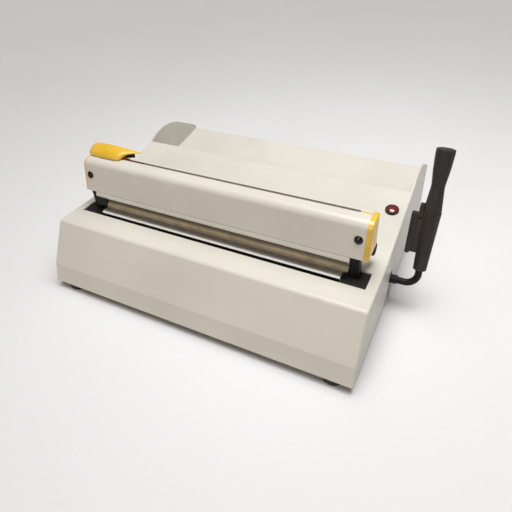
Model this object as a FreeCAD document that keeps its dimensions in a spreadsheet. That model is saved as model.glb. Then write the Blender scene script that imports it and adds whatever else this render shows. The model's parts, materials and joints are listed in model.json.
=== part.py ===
"""Table-top lever film sealer with a sliding cutter and a roll cradle.

Millimetres. +X is the operator's right, -Y is the front, +Z is up. The origin is on the table, under the
middle of the overall box. A setback is measured from the case's front bottom edge, and a height from the
table. Formulas along X start at the middle of the case, and node() moves each piece to the origin.
"""
import FreeCAD, Part
import Sketcher
import math
import os
import re

SIZES = {
    # case
    "case_width": 400,
    "case_depth": 342,
    "case_wall": 2.5,
    "cheek_wall": 2.5,
    "crease_setback": 6.3,
    "crease_height": 33,
    "deck_setback": 33.7,
    "deck_height": 84,
    "bend_setback": 112,
    "cradle_depth": 118,
    "ridge_height": 108,
    "ridge_flat": 4,
    "trough_run": 14,
    "trough_height": 65,
    "back_height": 82.5,
    "crown_run": 40,
    "crown_peak": 129,
    "cheek_rise": 6,
    "deck_radius": 5,
    "ramp_radius": 45,
    "ridge_radius": 5,
    "trough_radius": 9,
    "crown_radius": 75,
    "cheek_radius": 7,
    "edge_radius": 2,
    "flange_width": 9,
    "flange_length": 50,
    "fit_gap": 0.3,
    "hole_gap": 0.2,
    # base plate, screws and feet
    "plate_thickness": 2,
    "screw_radius": 1.9,
    "head_radius": 3.6,
    "head_height": 2.2,
    "base_screw_inset": 7,
    "base_screw_setback": 35,
    "foot_height": 10,
    "foot_radius": 13,
    "foot_taper": 0.8,
    "foot_seat": 6,
    "foot_inset_x": 24,
    "foot_inset_y": 14,
    # slot and lower jaw
    "slot_gap": 1.2,
    "jaw_setback": 75.5,
    "bar_end_gap": 1,
    "bar_width": 17,
    "bar_height": 10,
    "bar_bevel": 2.6,
    "bar_rise": 1.6,
    "bar_screw_bite": 5,
    "strip_width": 11,
    "strip_depth": 3,
    "strip_offset": 2,
    "bed_wall": 2,
    "bed_flange": 10,
    "bed_screw_inset": 40,
    # guide columns and posts
    "column_inset": 12.7,
    "column_length": 26.3,
    "column_width": 23.6,
    "column_floor": 3,
    "column_sink": 1.2,
    "column_screw": 6,
    "post_inset": 15.3,
    "post_width": 10,
    "post_offset": 0.5,
    "post_depth": 9.4,
    "post_drop": 12,
    "slide_gap": 0.3,
    # press drive
    "shaft_setback": 141,
    "shaft_height": 38,
    "shaft_radius": 4,
    "run_gap": 0.05,
    "stroke": 4.5,
    "press_angle": 60,
    "eccentric_wall": 2.5,
    "eccentric_width": 8,
    "grub_radius": 1.5,
    "grub_length": 4,
    "window_gap": 0.2,
    "window_side": 0.5,
    "press_thickness": 5,
    "press_frame": 6.5,
    "press_corner": 3,
    "press_arm": 14,
    "press_grip": 6.4,
    "pin_radius": 1.5,
    "bracket_inset": 12,
    "bracket_thickness": 3,
    "bracket_radius": 13,
    "bracket_foot": 12,
    "bracket_screw": 8,
    "bush_radius": 6.5,
    "bush_length": 5.5,
    "bush_flange": 1.5,
    "bush_rim": 2,
    "spring_radius": 3.6,
    "spring_wire": 1,
    "spring_strip": 1.4,
    "spring_length": 15,
    "spring_turns": 4,
    # lever
    "lever_reach": 29.5,
    "lever_lean": 15,
    "bend_radius": 14,
    "rod_reach": 140,
    "ring_land": 2.5,
    "ring_thickness": 1,
    "ring_bite": 0.6,
    "ring_rim": 2.5,
    "ring_mouth": 3.2,
    "collar_gap": 0.7,
    "collar_radius": 5.25,
    "collar_length": 13,
    "lever_slot_width": 13,
    "lever_slot_over": 11,
    "socket_start": 21,
    "socket_end": 90,
    "socket_foot_radius": 7.3,
    "socket_head_radius": 9.9,
    "wing_reach": 20,
    "wing_low": 41,
    "wing_high": 86,
    "wing_step": 13,
    "wing_step_high": 97,
    "wing_thickness": 9,
    "wing_lip": 3,
    "wing_hole": 1.3,
    "wing_hole_reach": 11,
    "wing_hole_drop": 4,
    "grip_foot_radius": 9.5,
    "grip_taper": 106,
    "grip_taper_radius": 7.5,
    "grip_waist": 118,
    "grip_waist_radius": 6.8,
    "grip_swell": 132,
    "grip_swell_radius": 7.9,
    "grip_flare": 151,
    "grip_flare_radius": 9.9,
    "grip_shoulder": 156.5,
    "grip_shoulder_radius": 9.5,
    "grip_end": 159,
    "grip_end_radius": 7.8,
    # beam
    "beam_inset": 20,
    "beam_height": 39.6,
    "beam_offset": 2.1,
    "beam_lean": 8.6,
    "beam_radius": 9,
    "beam_wall": 1.5,
    "slit_offset": 24.2,
    "slit_width": 2.4,
    "rail_thickness": 2.9,
    "carrier_drop": 6,
    "carrier_proud": 1.4,
    "carrier_lip": 1.6,
    "carrier_gap": 0.4,
    "carrier_depth": 14.6,
    "carrier_rise": 23.6,
    "jaw_gap": 4.8,
    "jaw_height": 14,
    "jaw_width": 10.4,
    "jaw_neck": 4.6,
    "nose_advance": 1,
    "holder_length": 17.5,
    "holder_half": 4.2,
    "holder_height": 11,
    "jaw_end_gap": 1,
    "cover_skin": 0.6,
    "heater_radius": 2.5,
    "heater_inset": 16,
    "thermostat_place": 40,
    "thermostat_length": 24,
    "thermostat_height": 14,
    "thermostat_depth": 8,
    "thermostat_lift": 6,
    "cap_left": 3,
    "cap_right": 6,
    "cap_curve": 1.2,
    "cap_tongue": 5,
    "cap_tab": 12,
    "beam_screw_drop": 19,
    "beam_screw_shift": 1.3,
    "beam_screw_radius": 4.6,
    "beam_screw_head": 2.2,
    "beam_screw_shank": 2,
    "beam_screw_reach": 6.5,
    # cutter
    "cutter_inset": 29.5,
    "knob_left": 35,
    "knob_right": 35,
    "knob_front": 9.2,
    "knob_back": 9.5,
    "knob_nose": 2,
    "knob_shoulder": 26,
    "knob_hip": 13,
    "knob_waist": 18,
    "knob_tip": 13,
    "knob_tip_width": 2,
    "knob_height": 11,
    "knob_left_height": 8,
    "knob_crest_left": 22,
    "knob_crest_right": 6,
    "knob_lift": 0.4,
    "knob_tail": 20,
    "knob_tail_lift": 1.2,
    "knob_tail_height": 3.4,
    "knob_curve": 9,
    "knob_arch": 14,
    "cutter_plate": 1.4,
    "cutter_plate_length": 34,
    "cutter_plate_drop": 8,
    "blade_place": 5,
    "blade_length": 22,
    "blade_drop": 19,
    "blade_thickness": 0.8,
    "blade_screw": 1.2,
    "blade_screw_head": 2.2,
    "blade_screw_pitch": 10,
    "shoe_length": 30,
    "shoe_height": 6,
    # lamp and mains
    "lamp_inset": 16.4,
    "lamp_run": 36,
    "lamp_radius": 8,
    "lamp_hole": 5.5,
    "lamp_rise": 2,
    "lamp_length": 22,
    "lamp_nut": 3,
    "lens_radius": 6.4,
    "lens_dome": 1.6,
    "inlet_inset": 80,
    "inlet_height": 44,
    "inlet_width": 27,
    "inlet_tall": 20,
    "inlet_depth": 20,
    "inlet_wall": 2,
    "inlet_rim": 2.5,
    "inlet_flange": 4,
    "inlet_pitch": 7,
    "pin_blade": 1,
    "switch_inset": 35,
    "switch_width": 13,
    "switch_tall": 19,
    "switch_depth": 16,
    "rocker_width": 8.6,
    "rocker_tall": 14.4,
    "rocker_face": 4.2,
    "rocker_root": 3,
    "rocker_root_half": 5.5,
    "rocker_dip": 1.3,
    "rocker_sink": 1.5,
    "rocker_gap": 0.4,
    "rocker_pin": 1.2,
    "rocker_stub": 1.2,
    "rocker_angle": 9,
    "terminal_length": 46,
    "terminal_width": 18,
    "terminal_height": 16,
    "terminal_well": 2.5,
    "terminal_inset": 62,
}

doc = FreeCAD.newDocument("FilmSealer")
sheet = doc.addObject("Spreadsheet::Sheet", "Sizes")
for row, (alias, number) in enumerate(SIZES.items(), 1):
    sheet.set("A%d" % row, alias.replace("_", " "))
    sheet.set("B%d" % row, str(number))
    sheet.setAlias("B%d" % row, alias)
doc.recompute()

X_AXIS = FreeCAD.Vector(1, 0, 0)
Y_AXIS = FreeCAD.Vector(0, 1, 0)
Z_AXIS = FreeCAD.Vector(0, 0, 1)
TURNS = {"z": FreeCAD.Rotation(), "x": FreeCAD.Rotation(Y_AXIS, 90), "y": FreeCAD.Rotation(X_AXIS, -90)}
SIDES = {"left": -1, "right": 1}
FRAME_X = "-(lever_reach + grip_flare_radius) / 2"
FRAME_Y = "-inlet_flange / 2"
RIDGE = "(case_depth - cradle_depth)"
TROUGH = "(case_depth - cradle_depth + trough_run)"
CROWN = "(case_depth - cradle_depth + crown_run)"
COLUMN_INNER = "(case_width / 2 - column_inset - column_length)"
COLUMN_OUTER = "(case_width / 2 - column_inset)"
POST_PLACE = "(case_width / 2 - column_inset - post_inset)"
BRACKET_PLACE = "(case_width / 2 - bracket_inset)"
LEVER_PLACE = "(case_width / 2 + lever_reach)"
INLET_PLACE = "(inlet_inset - case_width / 2)"
SWITCH_PLACE = "(switch_inset - case_width / 2)"
nodes = []


def linked(text):
    """A formula in plain size names, written for the sheet."""
    return re.sub(r"[a-z]\w+", lambda m: "Sizes." + m.group(0) if m.group(0) in SIZES else m.group(0), text)


def value(text):
    """The present value of a formula in size names."""
    return float(sheet.evalExpression(linked(text)))


def bind(thing, prop, text):
    thing.setExpression(prop, linked(text))


def place(thing, spot):
    for letter, text in zip("xyz", spot):
        bind(thing, "Placement.Base." + letter, text)


def back(text):
    """The Y of a setback from the front bottom edge."""
    return "(%s - case_depth / 2)" % text


def span(side, inner, outer):
    """The low and high X of a piece that lies between two distances from the middle."""
    if SIDES[side] > 0:
        return inner, outer
    return "-(%s)" % outer, "-(%s)" % inner


def off_middle(side, distance):
    return "%d * (%s)" % (SIDES[side], distance)


def block(low, high):
    box = doc.addObject("Part::Box", "Block")
    for prop, a, b in zip(("Length", "Width", "Height"), low, high):
        bind(box, prop, "(%s) - (%s)" % (b, a))
    place(box, low)
    return box


def cylinder(axis, radius, spot, length):
    rod = doc.addObject("Part::Cylinder", "Cylinder")
    rod.Placement = FreeCAD.Placement(FreeCAD.Vector(), TURNS[axis])
    bind(rod, "Radius", radius)
    bind(rod, "Height", length)
    place(rod, spot)
    return rod


def prism(sides, radius, spot, length):
    """An upright bar with flat sides, for screws and nuts that repeat."""
    bar = doc.addObject("Part::Prism", "Prism")
    bar.Polygon = sides
    bind(bar, "Circumradius", radius)
    bind(bar, "Height", length)
    place(bar, spot)
    return bar


def cone(axis, first, last, spot, length):
    taper = doc.addObject("Part::Cone", "Cone")
    taper.Placement = FreeCAD.Placement(FreeCAD.Vector(), TURNS[axis])
    bind(taper, "Radius1", first)
    bind(taper, "Radius2", last)
    bind(taper, "Height", length)
    place(taper, spot)
    return taper


def fused(*pieces):
    union = doc.addObject("Part::MultiFuse", "Union")
    union.Shapes = list(pieces)
    union.Refine = True
    return union


def cut(base, *tools):
    difference = doc.addObject("Part::Cut", "Difference")
    difference.Base = base
    difference.Tool = tools[0] if len(tools) == 1 else fused(*tools)
    difference.Refine = True
    return difference


def tube(axis, outer, inner, spot, length):
    return cut(cylinder(axis, outer, spot, length), cylinder(axis, inner, spot, length))


def together(pieces, spot, tilt):
    """Loose pieces made about a local origin, tilted about X there and set down at a spot."""
    group = doc.addObject("Part::Compound", "Group")
    group.Links = list(pieces)
    group.Placement = FreeCAD.Placement(FreeCAD.Vector(), FreeCAD.Rotation(X_AXIS, 1))
    bind(group, "Placement.Rotation.Angle", tilt)
    place(group, spot)
    return group


def node(label, *pieces, spot=("0", "0", "0"), tilt="0"):
    """One finished piece, or a set of identical loose ones, set in the frame of the whole machine."""
    x, y, z = spot
    group = together(pieces, (x + " + " + FRAME_X, y + " + " + FRAME_Y, z), tilt)
    group.Label = label
    nodes.append(group)


def plane_of(body, role):
    return [part for part in body.Origin.OriginFeatures if part.Role == role][0]


def outline(body, role, points, offset="0"):
    """A closed outline of straight runs, with each corner tied to the sheet."""
    sketch = body.newObject("Sketcher::SketchObject", "Outline")
    sketch.AttachmentSupport = [(plane_of(body, role), "")]
    sketch.MapMode = "FlatFace"
    bind(sketch, "AttachmentOffset.Base.z", offset)
    count = len(points)
    turns = [k * math.tau / count for k in range(count)]
    ring = [FreeCAD.Vector(math.cos(turn), math.sin(turn), 0) for turn in turns]
    for k in range(count):
        sketch.addGeometry(Part.LineSegment(ring[k], ring[(k + 1) % count]), False)
    for k in range(count):
        sketch.addConstraint(Sketcher.Constraint("Coincident", k, 2, (k + 1) % count, 1))
    for k, point in enumerate(points):
        for kind, text, start in zip(("DistanceX", "DistanceY"), point, (ring[k].x, ring[k].y)):
            number = sketch.addConstraint(Sketcher.Constraint(kind, -1, 1, k, 1, start))
            name = "%s%d" % (kind, k)
            sketch.renameConstraint(number, name)
            bind(sketch, "Constraints." + name, text)
    doc.recompute()
    return sketch


def padded(body, role, points, low, high):
    """Adds a pad of an outline to a body, from low to high along the outline's normal."""
    pad = body.newObject("PartDesign::Pad", "Pad")
    pad.Profile = outline(body, role, points, low)
    bind(pad, "Length", "(%s) - (%s)" % (high, low))
    body.Tip = pad
    doc.recompute()
    return body


def profile(role, points, low, high):
    return padded(doc.addObject("PartDesign::Body", "Profile"), role, points, low, high)


def turned(points):
    """A body turned about Z from an outline of radius and height."""
    body = doc.addObject("PartDesign::Body", "Turned")
    spin = body.newObject("PartDesign::Revolution", "Revolution")
    sketch = outline(body, "XZ_Plane", points)
    spin.Profile = sketch
    spin.ReferenceAxis = (sketch, ["V_Axis"])
    spin.Angle = 360
    body.Tip = spin
    doc.recompute()
    return body


def rounded(body, wanted, radius):
    """Fillets the edges of a body's present shape that the test picks."""
    base = body.Tip
    names = ["Edge%d" % (k + 1) for k, edge in enumerate(base.Shape.Edges) if wanted(edge)]
    fillet = body.newObject("PartDesign::Fillet", "Fillet")
    fillet.Base = (base, names)
    bind(fillet, "Radius", radius)
    body.Tip = fillet
    doc.recompute()
    return body


def runs_along(edge, axis):
    """True for a straight edge parallel to an axis."""
    if edge.Curve.TypeId != "Part::GeomLine":
        return False
    return abs(abs(edge.Curve.Direction.dot(axis)) - 1) < 1e-6


def near(first, second):
    return abs(first - second) < 0.01


def at_corner(edge, setback, height):
    """True for an edge along X at one corner of a side view."""
    if not runs_along(edge, X_AXIS):
        return False
    spot = edge.CenterOfMass
    return near(spot.y, value(back(setback))) and near(spot.z, value(height))


def corner_rounded(body, setback, height, radius):
    return rounded(body, lambda edge: at_corner(edge, setback, height), radius)


# Case: one enamelled shell, open below, with the roll cradle let into its back half
def case_solid():
    points = [
        (back("0"), "foot_height"),
        (back("crease_setback"), "crease_height"),
        (back("deck_setback"), "deck_height"),
        (back("bend_setback"), "deck_height"),
        (back(RIDGE), "ridge_height"),
        (back("(%s + ridge_flat)" % RIDGE), "ridge_height"),
        (back(TROUGH), "trough_height"),
        ("case_depth / 2", "back_height"),
        ("case_depth / 2", "foot_height"),
    ]
    body = profile("YZ_Plane", points, "-case_width / 2", "case_width / 2")
    corner_rounded(body, "crease_setback", "crease_height", "deck_radius")
    corner_rounded(body, "deck_setback", "deck_height", "deck_radius")
    corner_rounded(body, "bend_setback", "deck_height", "ramp_radius")
    corner_rounded(body, TROUGH, "trough_height", "trough_radius")
    corner_rounded(body, "(%s + ridge_flat)" % RIDGE, "ridge_height", "ridge_radius")
    cheek = [
        (back(RIDGE), "ridge_height"),
        (back(CROWN), "crown_peak"),
        ("case_depth / 2", "back_height + cheek_rise"),
        ("case_depth / 2", "trough_height - trough_radius"),
        (back(RIDGE), "trough_height - trough_radius"),
    ]
    for side in SIDES:
        padded(body, "YZ_Plane", cheek, *span(side, "case_width / 2 - cheek_wall", "case_width / 2"))
    corner_rounded(body, CROWN, "crown_peak", "crown_radius")
    corner_rounded(body, "case_depth", "back_height + cheek_rise", "cheek_radius")
    half = value("case_width / 2")
    floor = value("foot_height")

    def on_side_rim(edge):
        spot = edge.CenterOfMass
        return near(abs(spot.x), half) and not near(spot.z, floor)

    return rounded(body, on_side_rim, "edge_radius")


def case_core():
    """The hollow of the case: its form moved in by the wall, and open below."""
    points = [
        (back("case_wall"), "foot_height - case_wall"),
        (back("(crease_setback + case_wall)"), "crease_height"),
        (back("(deck_setback + case_wall)"), "deck_height - case_wall"),
        (back("bend_setback"), "deck_height - case_wall"),
        (back(RIDGE), "ridge_height - case_wall"),
        (back("(%s + ridge_flat - case_wall)" % RIDGE), "ridge_height - case_wall"),
        (back("(%s - case_wall)" % TROUGH), "trough_height - case_wall"),
        ("case_depth / 2 - case_wall", "back_height - case_wall"),
        ("case_depth / 2 - case_wall", "foot_height - case_wall"),
    ]
    return profile("YZ_Plane", points, "case_wall - case_width / 2", "case_width / 2 - case_wall")


PLATE_TOP = "(foot_height + plate_thickness)"
INNER_WALL = "(case_width / 2 - case_wall)"
BACK_WALL = "(case_depth / 2 - case_wall)"
BASE_SCREW_X = "(case_width / 2 - base_screw_inset)"
SLOT_ROUND = "(shaft_height + lever_slot_over - lever_slot_width / 2)"
RAMP_SLOPE = "(ridge_height - deck_height) / (%s - bend_setback)" % RIDGE
RAMP_TILT = "atan(%s)" % RAMP_SLOPE
LAMP_SPOT = (
    "case_width / 2 - lamp_inset",
    back("(%s - lamp_run)" % RIDGE),
    "ridge_height - lamp_run * " + RAMP_SLOPE,
)
SHAFT_SPOT = ("0", back("shaft_setback"), "shaft_height")


def screw(x, y, seat, reach, upwards):
    """A screw whose head bears on a seat from below, or else from above."""
    if upwards:
        head_low, shank_low = "%s - head_height" % seat, seat
    else:
        head_low, shank_low = seat, "%s - (%s)" % (seat, reach)
    return fused(prism(6, "head_radius", (x, y, head_low), "head_height"),
                 prism(8, "screw_radius", (x, y, shank_low), reach))


def hole(x, y, low, high):
    return prism(8, "screw_radius + hole_gap", (x, y, low), "(%s) - (%s)" % (high, low))


CASE_SCREWS = [(off_middle(side, BASE_SCREW_X), back(setback))
               for side in SIDES for setback in ("base_screw_setback", "(case_depth - base_screw_setback)")]


def case_flange(x, y):
    side = "left" if x.startswith("-") else "right"
    low, high = span(side, INNER_WALL + " - flange_width", INNER_WALL + " + case_wall / 2")
    return block((low, y + " - flange_length / 2", PLATE_TOP),
                 (high, y + " + flange_length / 2", PLATE_TOP + " + plate_thickness"))


SLOT_END = "(%s + slot_gap)" % COLUMN_OUTER
deck_slot = block(("-" + SLOT_END, back("(jaw_setback - column_width / 2 - slot_gap)"), "deck_height - 2 * case_wall"),
                  (SLOT_END, back("(jaw_setback + column_width / 2 + slot_gap)"), "deck_height + case_wall"))
lever_slot = block((INNER_WALL + " - case_wall", back("(shaft_setback - lever_slot_width / 2)"), "0"),
                   ("case_width / 2 + case_wall", back("(shaft_setback + lever_slot_width / 2)"), SLOT_ROUND))
lever_slot_top = cylinder("x", "lever_slot_width / 2",
                          (INNER_WALL + " - case_wall", back("shaft_setback"), SLOT_ROUND), "3 * case_wall")
lamp_hole = together([cylinder("z", "lamp_hole", ("0", "0", "-4 * case_wall"), "8 * case_wall")],
                     LAMP_SPOT, RAMP_TILT)


def panel_hole(x, wide, tall):
    """An opening in the back wall for a panel fitting, wider than it by the fit."""
    reach_x, reach_z = "%s / 2 - fit_gap" % wide, "%s / 2 - fit_gap" % tall
    far_x, far_z = "%s / 2 + fit_gap" % wide, "%s / 2 + fit_gap" % tall
    return block(("%s - %s" % (x, reach_x), BACK_WALL + " - case_wall", "inlet_height - " + reach_z),
                 ("%s + %s" % (x, far_x), "case_depth / 2 + case_wall", "inlet_height + " + far_z))


inlet_hole = panel_hole(INLET_PLACE, "inlet_width", "inlet_tall")
switch_hole = panel_hole(SWITCH_PLACE, "switch_width", "switch_tall")
flanges = [case_flange(x, y) for x, y in CASE_SCREWS]
flange_holes = [hole(x, y, "foot_height", PLATE_TOP + " + 2 * plate_thickness") for x, y in CASE_SCREWS]
case_walls = fused(cut(case_solid(), case_core()), *flanges)
node("casing", cut(case_walls, deck_slot, lever_slot, lever_slot_top, lamp_hole, inlet_hole, switch_hole,
                   *flange_holes))

# Base plate, its screws and the four feet
FOOT_SPOTS = [(off_middle(side, "case_width / 2 - foot_inset_x"), back(setback))
              for side in SIDES for setback in ("foot_inset_y", "(case_depth - foot_inset_y)")]
COLUMN_SCREWS = [(off_middle(side, COLUMN_OUTER + " - column_length / 2"),
                  back("(jaw_setback - column_width / 2 + column_screw)")) for side in SIDES]
BAR_END = "(%s - bar_end_gap)" % COLUMN_INNER
BED_SCREW_X = "(%s - bar_end_gap - bed_screw_inset)" % COLUMN_INNER
BED_SCREWS = [(x, back("(jaw_setback %s (bar_width + bed_flange) / 2)" % sign))
              for x in ("-" + BED_SCREW_X, BED_SCREW_X) for sign in "-+"]
BRACKET_SCREWS = [(off_middle(side, BRACKET_PLACE + " - bracket_foot / 2"),
                   back("(shaft_setback %s bracket_screw)" % sign)) for side in SIDES for sign in "-+"]
plate = block(("fit_gap - " + INNER_WALL, back("crease_setback"), "foot_height"),
              (INNER_WALL + " - fit_gap", BACK_WALL + " - fit_gap", PLATE_TOP))
plate_holes = [hole(x, y, "0", PLATE_TOP + " + plate_thickness")
               for x, y in CASE_SCREWS + FOOT_SPOTS + COLUMN_SCREWS + BED_SCREWS + BRACKET_SCREWS]
node("base_plate", cut(plate, *plate_holes))
node("base_screws", *[screw(x, y, "foot_height", "3 * plate_thickness", True)
                      for x, y in CASE_SCREWS + COLUMN_SCREWS])


def foot(x, y):
    rubber = cone("z", "foot_radius - foot_taper", "foot_radius", (x, y, "0"), "foot_height")
    recess = cylinder("z", "head_radius + hole_gap", (x, y, "-foot_taper"), "foot_seat + foot_taper")
    return cut(rubber, recess, hole(x, y, "0", "2 * foot_height"))


node("rubber_feet", *[foot(x, y) for x, y in FOOT_SPOTS])
node("foot_screws", *[screw(x, y, "foot_seat", PLATE_TOP + " - foot_seat + plate_thickness", True)
                      for x, y in FOOT_SPOTS])

# Lower jaw: a folded steel bed that carries a bright bar with a soft strip let into it
BAR_TOP = "(deck_height + bar_rise)"
BAR_LOW = "(deck_height + bar_rise - bar_height)"
BAR_FRONT = "jaw_setback - bar_width / 2"
BAR_BACK = "jaw_setback + bar_width / 2"
JAW_LINE = "(jaw_setback + strip_offset)"
bed_outline = [
    (back("(%s - bed_flange)" % BAR_FRONT), PLATE_TOP),
    (back("(%s + bed_wall)" % BAR_FRONT), PLATE_TOP),
    (back("(%s + bed_wall)" % BAR_FRONT), BAR_LOW + " - bed_wall"),
    (back("(%s - bed_wall)" % BAR_BACK), BAR_LOW + " - bed_wall"),
    (back("(%s - bed_wall)" % BAR_BACK), PLATE_TOP),
    (back("(%s + bed_flange)" % BAR_BACK), PLATE_TOP),
    (back("(%s + bed_flange)" % BAR_BACK), PLATE_TOP + " + bed_wall"),
    (back("(%s)" % BAR_BACK), PLATE_TOP + " + bed_wall"),
    (back("(%s)" % BAR_BACK), BAR_LOW),
    (back("(%s)" % BAR_FRONT), BAR_LOW),
    (back("(%s)" % BAR_FRONT), PLATE_TOP + " + bed_wall"),
    (back("(%s - bed_flange)" % BAR_FRONT), PLATE_TOP + " + bed_wall"),
]
bar_outline = [
    (back("(%s)" % BAR_FRONT), BAR_LOW),
    (back("(%s)" % BAR_FRONT), BAR_TOP + " - bar_bevel"),
    (back("(%s + bar_bevel)" % BAR_FRONT), BAR_TOP),
    (back("(%s)" % BAR_BACK), BAR_TOP),
    (back("(%s)" % BAR_BACK), BAR_LOW),
]
BAR_SCREWS = [("%d * %s" % (k, BED_SCREW_X), back("jaw_setback")) for k in (-1, 0, 1)]
BAR_SCREW_REACH = "bed_wall + bar_screw_bite"
bed = profile("YZ_Plane", bed_outline, "-" + BAR_END, BAR_END)
bed_holes = [hole(x, y, PLATE_TOP, PLATE_TOP + " + 2 * bed_wall") for x, y in BED_SCREWS]
top_holes = [hole(x, y, BAR_LOW + " - 2 * bed_wall", BAR_LOW + " + bar_screw_bite + hole_gap")
             for x, y in BAR_SCREWS]
node("jaw_bed", cut(bed, *bed_holes, *top_holes))
STRIP_FRONT = back("(%s - strip_width / 2)" % JAW_LINE)
STRIP_BACK = back("(%s + strip_width / 2)" % JAW_LINE)
groove = block(("-%s - fit_gap" % BAR_END, STRIP_FRONT, BAR_TOP + " - strip_depth"),
               (BAR_END + " + fit_gap", STRIP_BACK, BAR_TOP + " + strip_depth"))
node("lower_jaw", cut(profile("YZ_Plane", bar_outline, "-" + BAR_END, BAR_END), groove, *top_holes))
node("rubber_strip", block(("-" + BAR_END, STRIP_FRONT, BAR_TOP + " - strip_depth"), (BAR_END, STRIP_BACK, BAR_TOP)))
bed_screws = [screw(x, y, PLATE_TOP + " + bed_wall", "bed_wall + plate_thickness", False) for x, y in BED_SCREWS]
bar_screws = [screw(x, y, BAR_LOW + " - bed_wall", BAR_SCREW_REACH, True) for x, y in BAR_SCREWS]
node("bed_screws", *bed_screws, *bar_screws)

# Sizes shared by the posts, the press drive and the beam
ECCENTRICITY = "(stroke / 2 / sin(press_angle / 2))"
CAM_RADIUS = "(shaft_radius + stroke / 2 / sin(press_angle / 2) + eccentric_wall)"
WINDOW_Y = "(shaft_setback - stroke / 4 / sin(press_angle / 2) * (1 + cos(press_angle / 2)) - case_depth / 2)"
WINDOW_Z = "(shaft_height + stroke / 2)"
POST_INNER = "(%s - post_width / 2)" % POST_PLACE
POST_OUTER = "(%s + post_width / 2)" % POST_PLACE
POST_FRONT = "(jaw_setback + post_offset)"
POST_BACK = "(jaw_setback + post_offset + post_depth)"
POST_LOW = "(foot_height + plate_thickness + column_floor + spring_length)"
ARM_LOW = "(shaft_height + stroke / 2 - press_arm / 2)"
ARM_HIGH = "(shaft_height + stroke / 2 + press_arm / 2)"
ARM_TIP = "(jaw_setback + post_offset + post_depth - press_grip)"
CARRIER_LOW = "(deck_height + bar_rise + jaw_gap + jaw_height)"
BEAM_LOW = "(deck_height + bar_rise + jaw_gap + jaw_height + carrier_drop)"
BEAM_TOP = "(deck_height + bar_rise + jaw_gap + jaw_height + carrier_drop + beam_height)"
BEAM_FRONT = "(jaw_setback - beam_offset)"
BEAM_TILT = "-atan(beam_lean / beam_height)"
WALL_RUN = "(beam_wall / cos(atan(beam_lean / beam_height)))"
SLIT_FRONT = "(jaw_setback + slit_offset - slit_width / 2)"
SLIT_BACK = "(jaw_setback + slit_offset + slit_width / 2)"
BEAM_END = "(case_width / 2 - beam_inset)"
BEAM_SCREW_X = "(%s + beam_screw_shift)" % POST_PLACE
SCREW_RISE = "(beam_height - beam_screw_drop)"
SCREW_SPOT = (
    "0",
    back("(%s + beam_lean * %s / beam_height)" % (BEAM_FRONT, SCREW_RISE)),
    BEAM_LOW + " + " + SCREW_RISE,
)


def front_wall(rise, behind):
    """The setback of a line that runs behind the beam's leaning front face, at a height above its low edge."""
    return "(%s + beam_lean * (%s) / beam_height + %s)" % (BEAM_FRONT, rise, behind)


def beam_screw_hole(side):
    length = "post_depth + 2 * beam_lean"
    bore = cylinder("y", "beam_screw_shank + hole_gap", ("0", "-beam_lean", "0"), length)
    y, z = SCREW_SPOT[1:]
    return together([bore], (off_middle(side, BEAM_SCREW_X), y, z), BEAM_TILT)


def pin_holes(side, radius):
    """Two cross pins through the post and the arm of the press plate."""
    low, high = span(side, POST_INNER, POST_OUTER)
    y = back("(%s - press_grip / 2)" % POST_BACK)
    heights = (ARM_LOW + " + press_arm / 4", ARM_HIGH + " - press_arm / 4")
    return [cylinder("x", radius, (low, y, z), "post_width") for z in heights]


def about_post(side, half):
    """The low and high X of a piece that lies evenly about the middle of a post."""
    return span(side, "%s - %s" % (POST_PLACE, half), "%s + %s" % (POST_PLACE, half))


# Guide columns: black blocks in the slot, bored square for the posts, with a slit behind for the press arms
for side in SIDES:
    low, high = span(side, COLUMN_INNER, COLUMN_OUTER)
    column = block((low, back("(jaw_setback - column_width / 2)"), PLATE_TOP),
                   (high, back("(jaw_setback + column_width / 2)"), "deck_height - column_sink"))
    low, high = span(side, POST_INNER + " - slide_gap", POST_OUTER + " + slide_gap")
    channel = block((low, back("(%s - slide_gap)" % POST_FRONT), PLATE_TOP + " + column_floor"),
                    (high, back("(%s + slide_gap)" % POST_BACK), "2 * deck_height"))
    low, high = about_post(side, "(press_thickness / 2 + slide_gap)")
    rear_slot = block((low, back(POST_FRONT), ARM_LOW + " - stroke - 2 * slide_gap"),
                      (high, back("(jaw_setback + column_width)"), ARM_HIGH + " + slide_gap"))
    x, y = COLUMN_SCREWS[list(SIDES).index(side)]
    screw_hole = hole(x, y, "0", PLATE_TOP + " + 3 * plate_thickness")
    node("guide_column_" + side, cut(column, channel, rear_slot, screw_hole))

# Posts: they rise from the columns into the beam, and their fronts lean with its front wall. The left one also
# holds the end of the upper jaw
NOSE_LINE = "(jaw_setback - nose_advance)"
POST_TOP_RISE = "(beam_height - post_drop)"
for side in SIDES:
    lean_start = "(post_offset + beam_offset - %s - fit_gap) * beam_height / beam_lean" % WALL_RUN
    points = [
        (back(POST_FRONT), POST_LOW),
        (back(POST_FRONT), BEAM_LOW + " + " + lean_start),
        (back(front_wall(POST_TOP_RISE, WALL_RUN + " + fit_gap")), BEAM_LOW + " + " + POST_TOP_RISE),
        (back(POST_BACK), BEAM_LOW + " + " + POST_TOP_RISE),
        (back(POST_BACK), POST_LOW),
    ]
    post = profile("YZ_Plane", points, *span(side, POST_INNER, POST_OUTER))
    low, high = about_post(side, "(press_thickness / 2 + hole_gap)")
    arm_slot = block((low, back("(%s - hole_gap)" % ARM_TIP), ARM_LOW + " - hole_gap"),
                     (high, back("(%s + press_grip)" % POST_BACK), ARM_HIGH + " + hole_gap"))
    if side == "left":
        holder = block(("-" + POST_INNER, back("(%s - holder_half)" % NOSE_LINE), CARRIER_LOW + " - holder_height"),
                       ("holder_length - " + POST_INNER, back(POST_BACK), CARRIER_LOW))
        post = fused(post, holder)
    pins = pin_holes(side, "pin_radius + run_gap")
    node("jaw_post_" + side, cut(post, arm_slot, beam_screw_hole(side), *pins))

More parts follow.
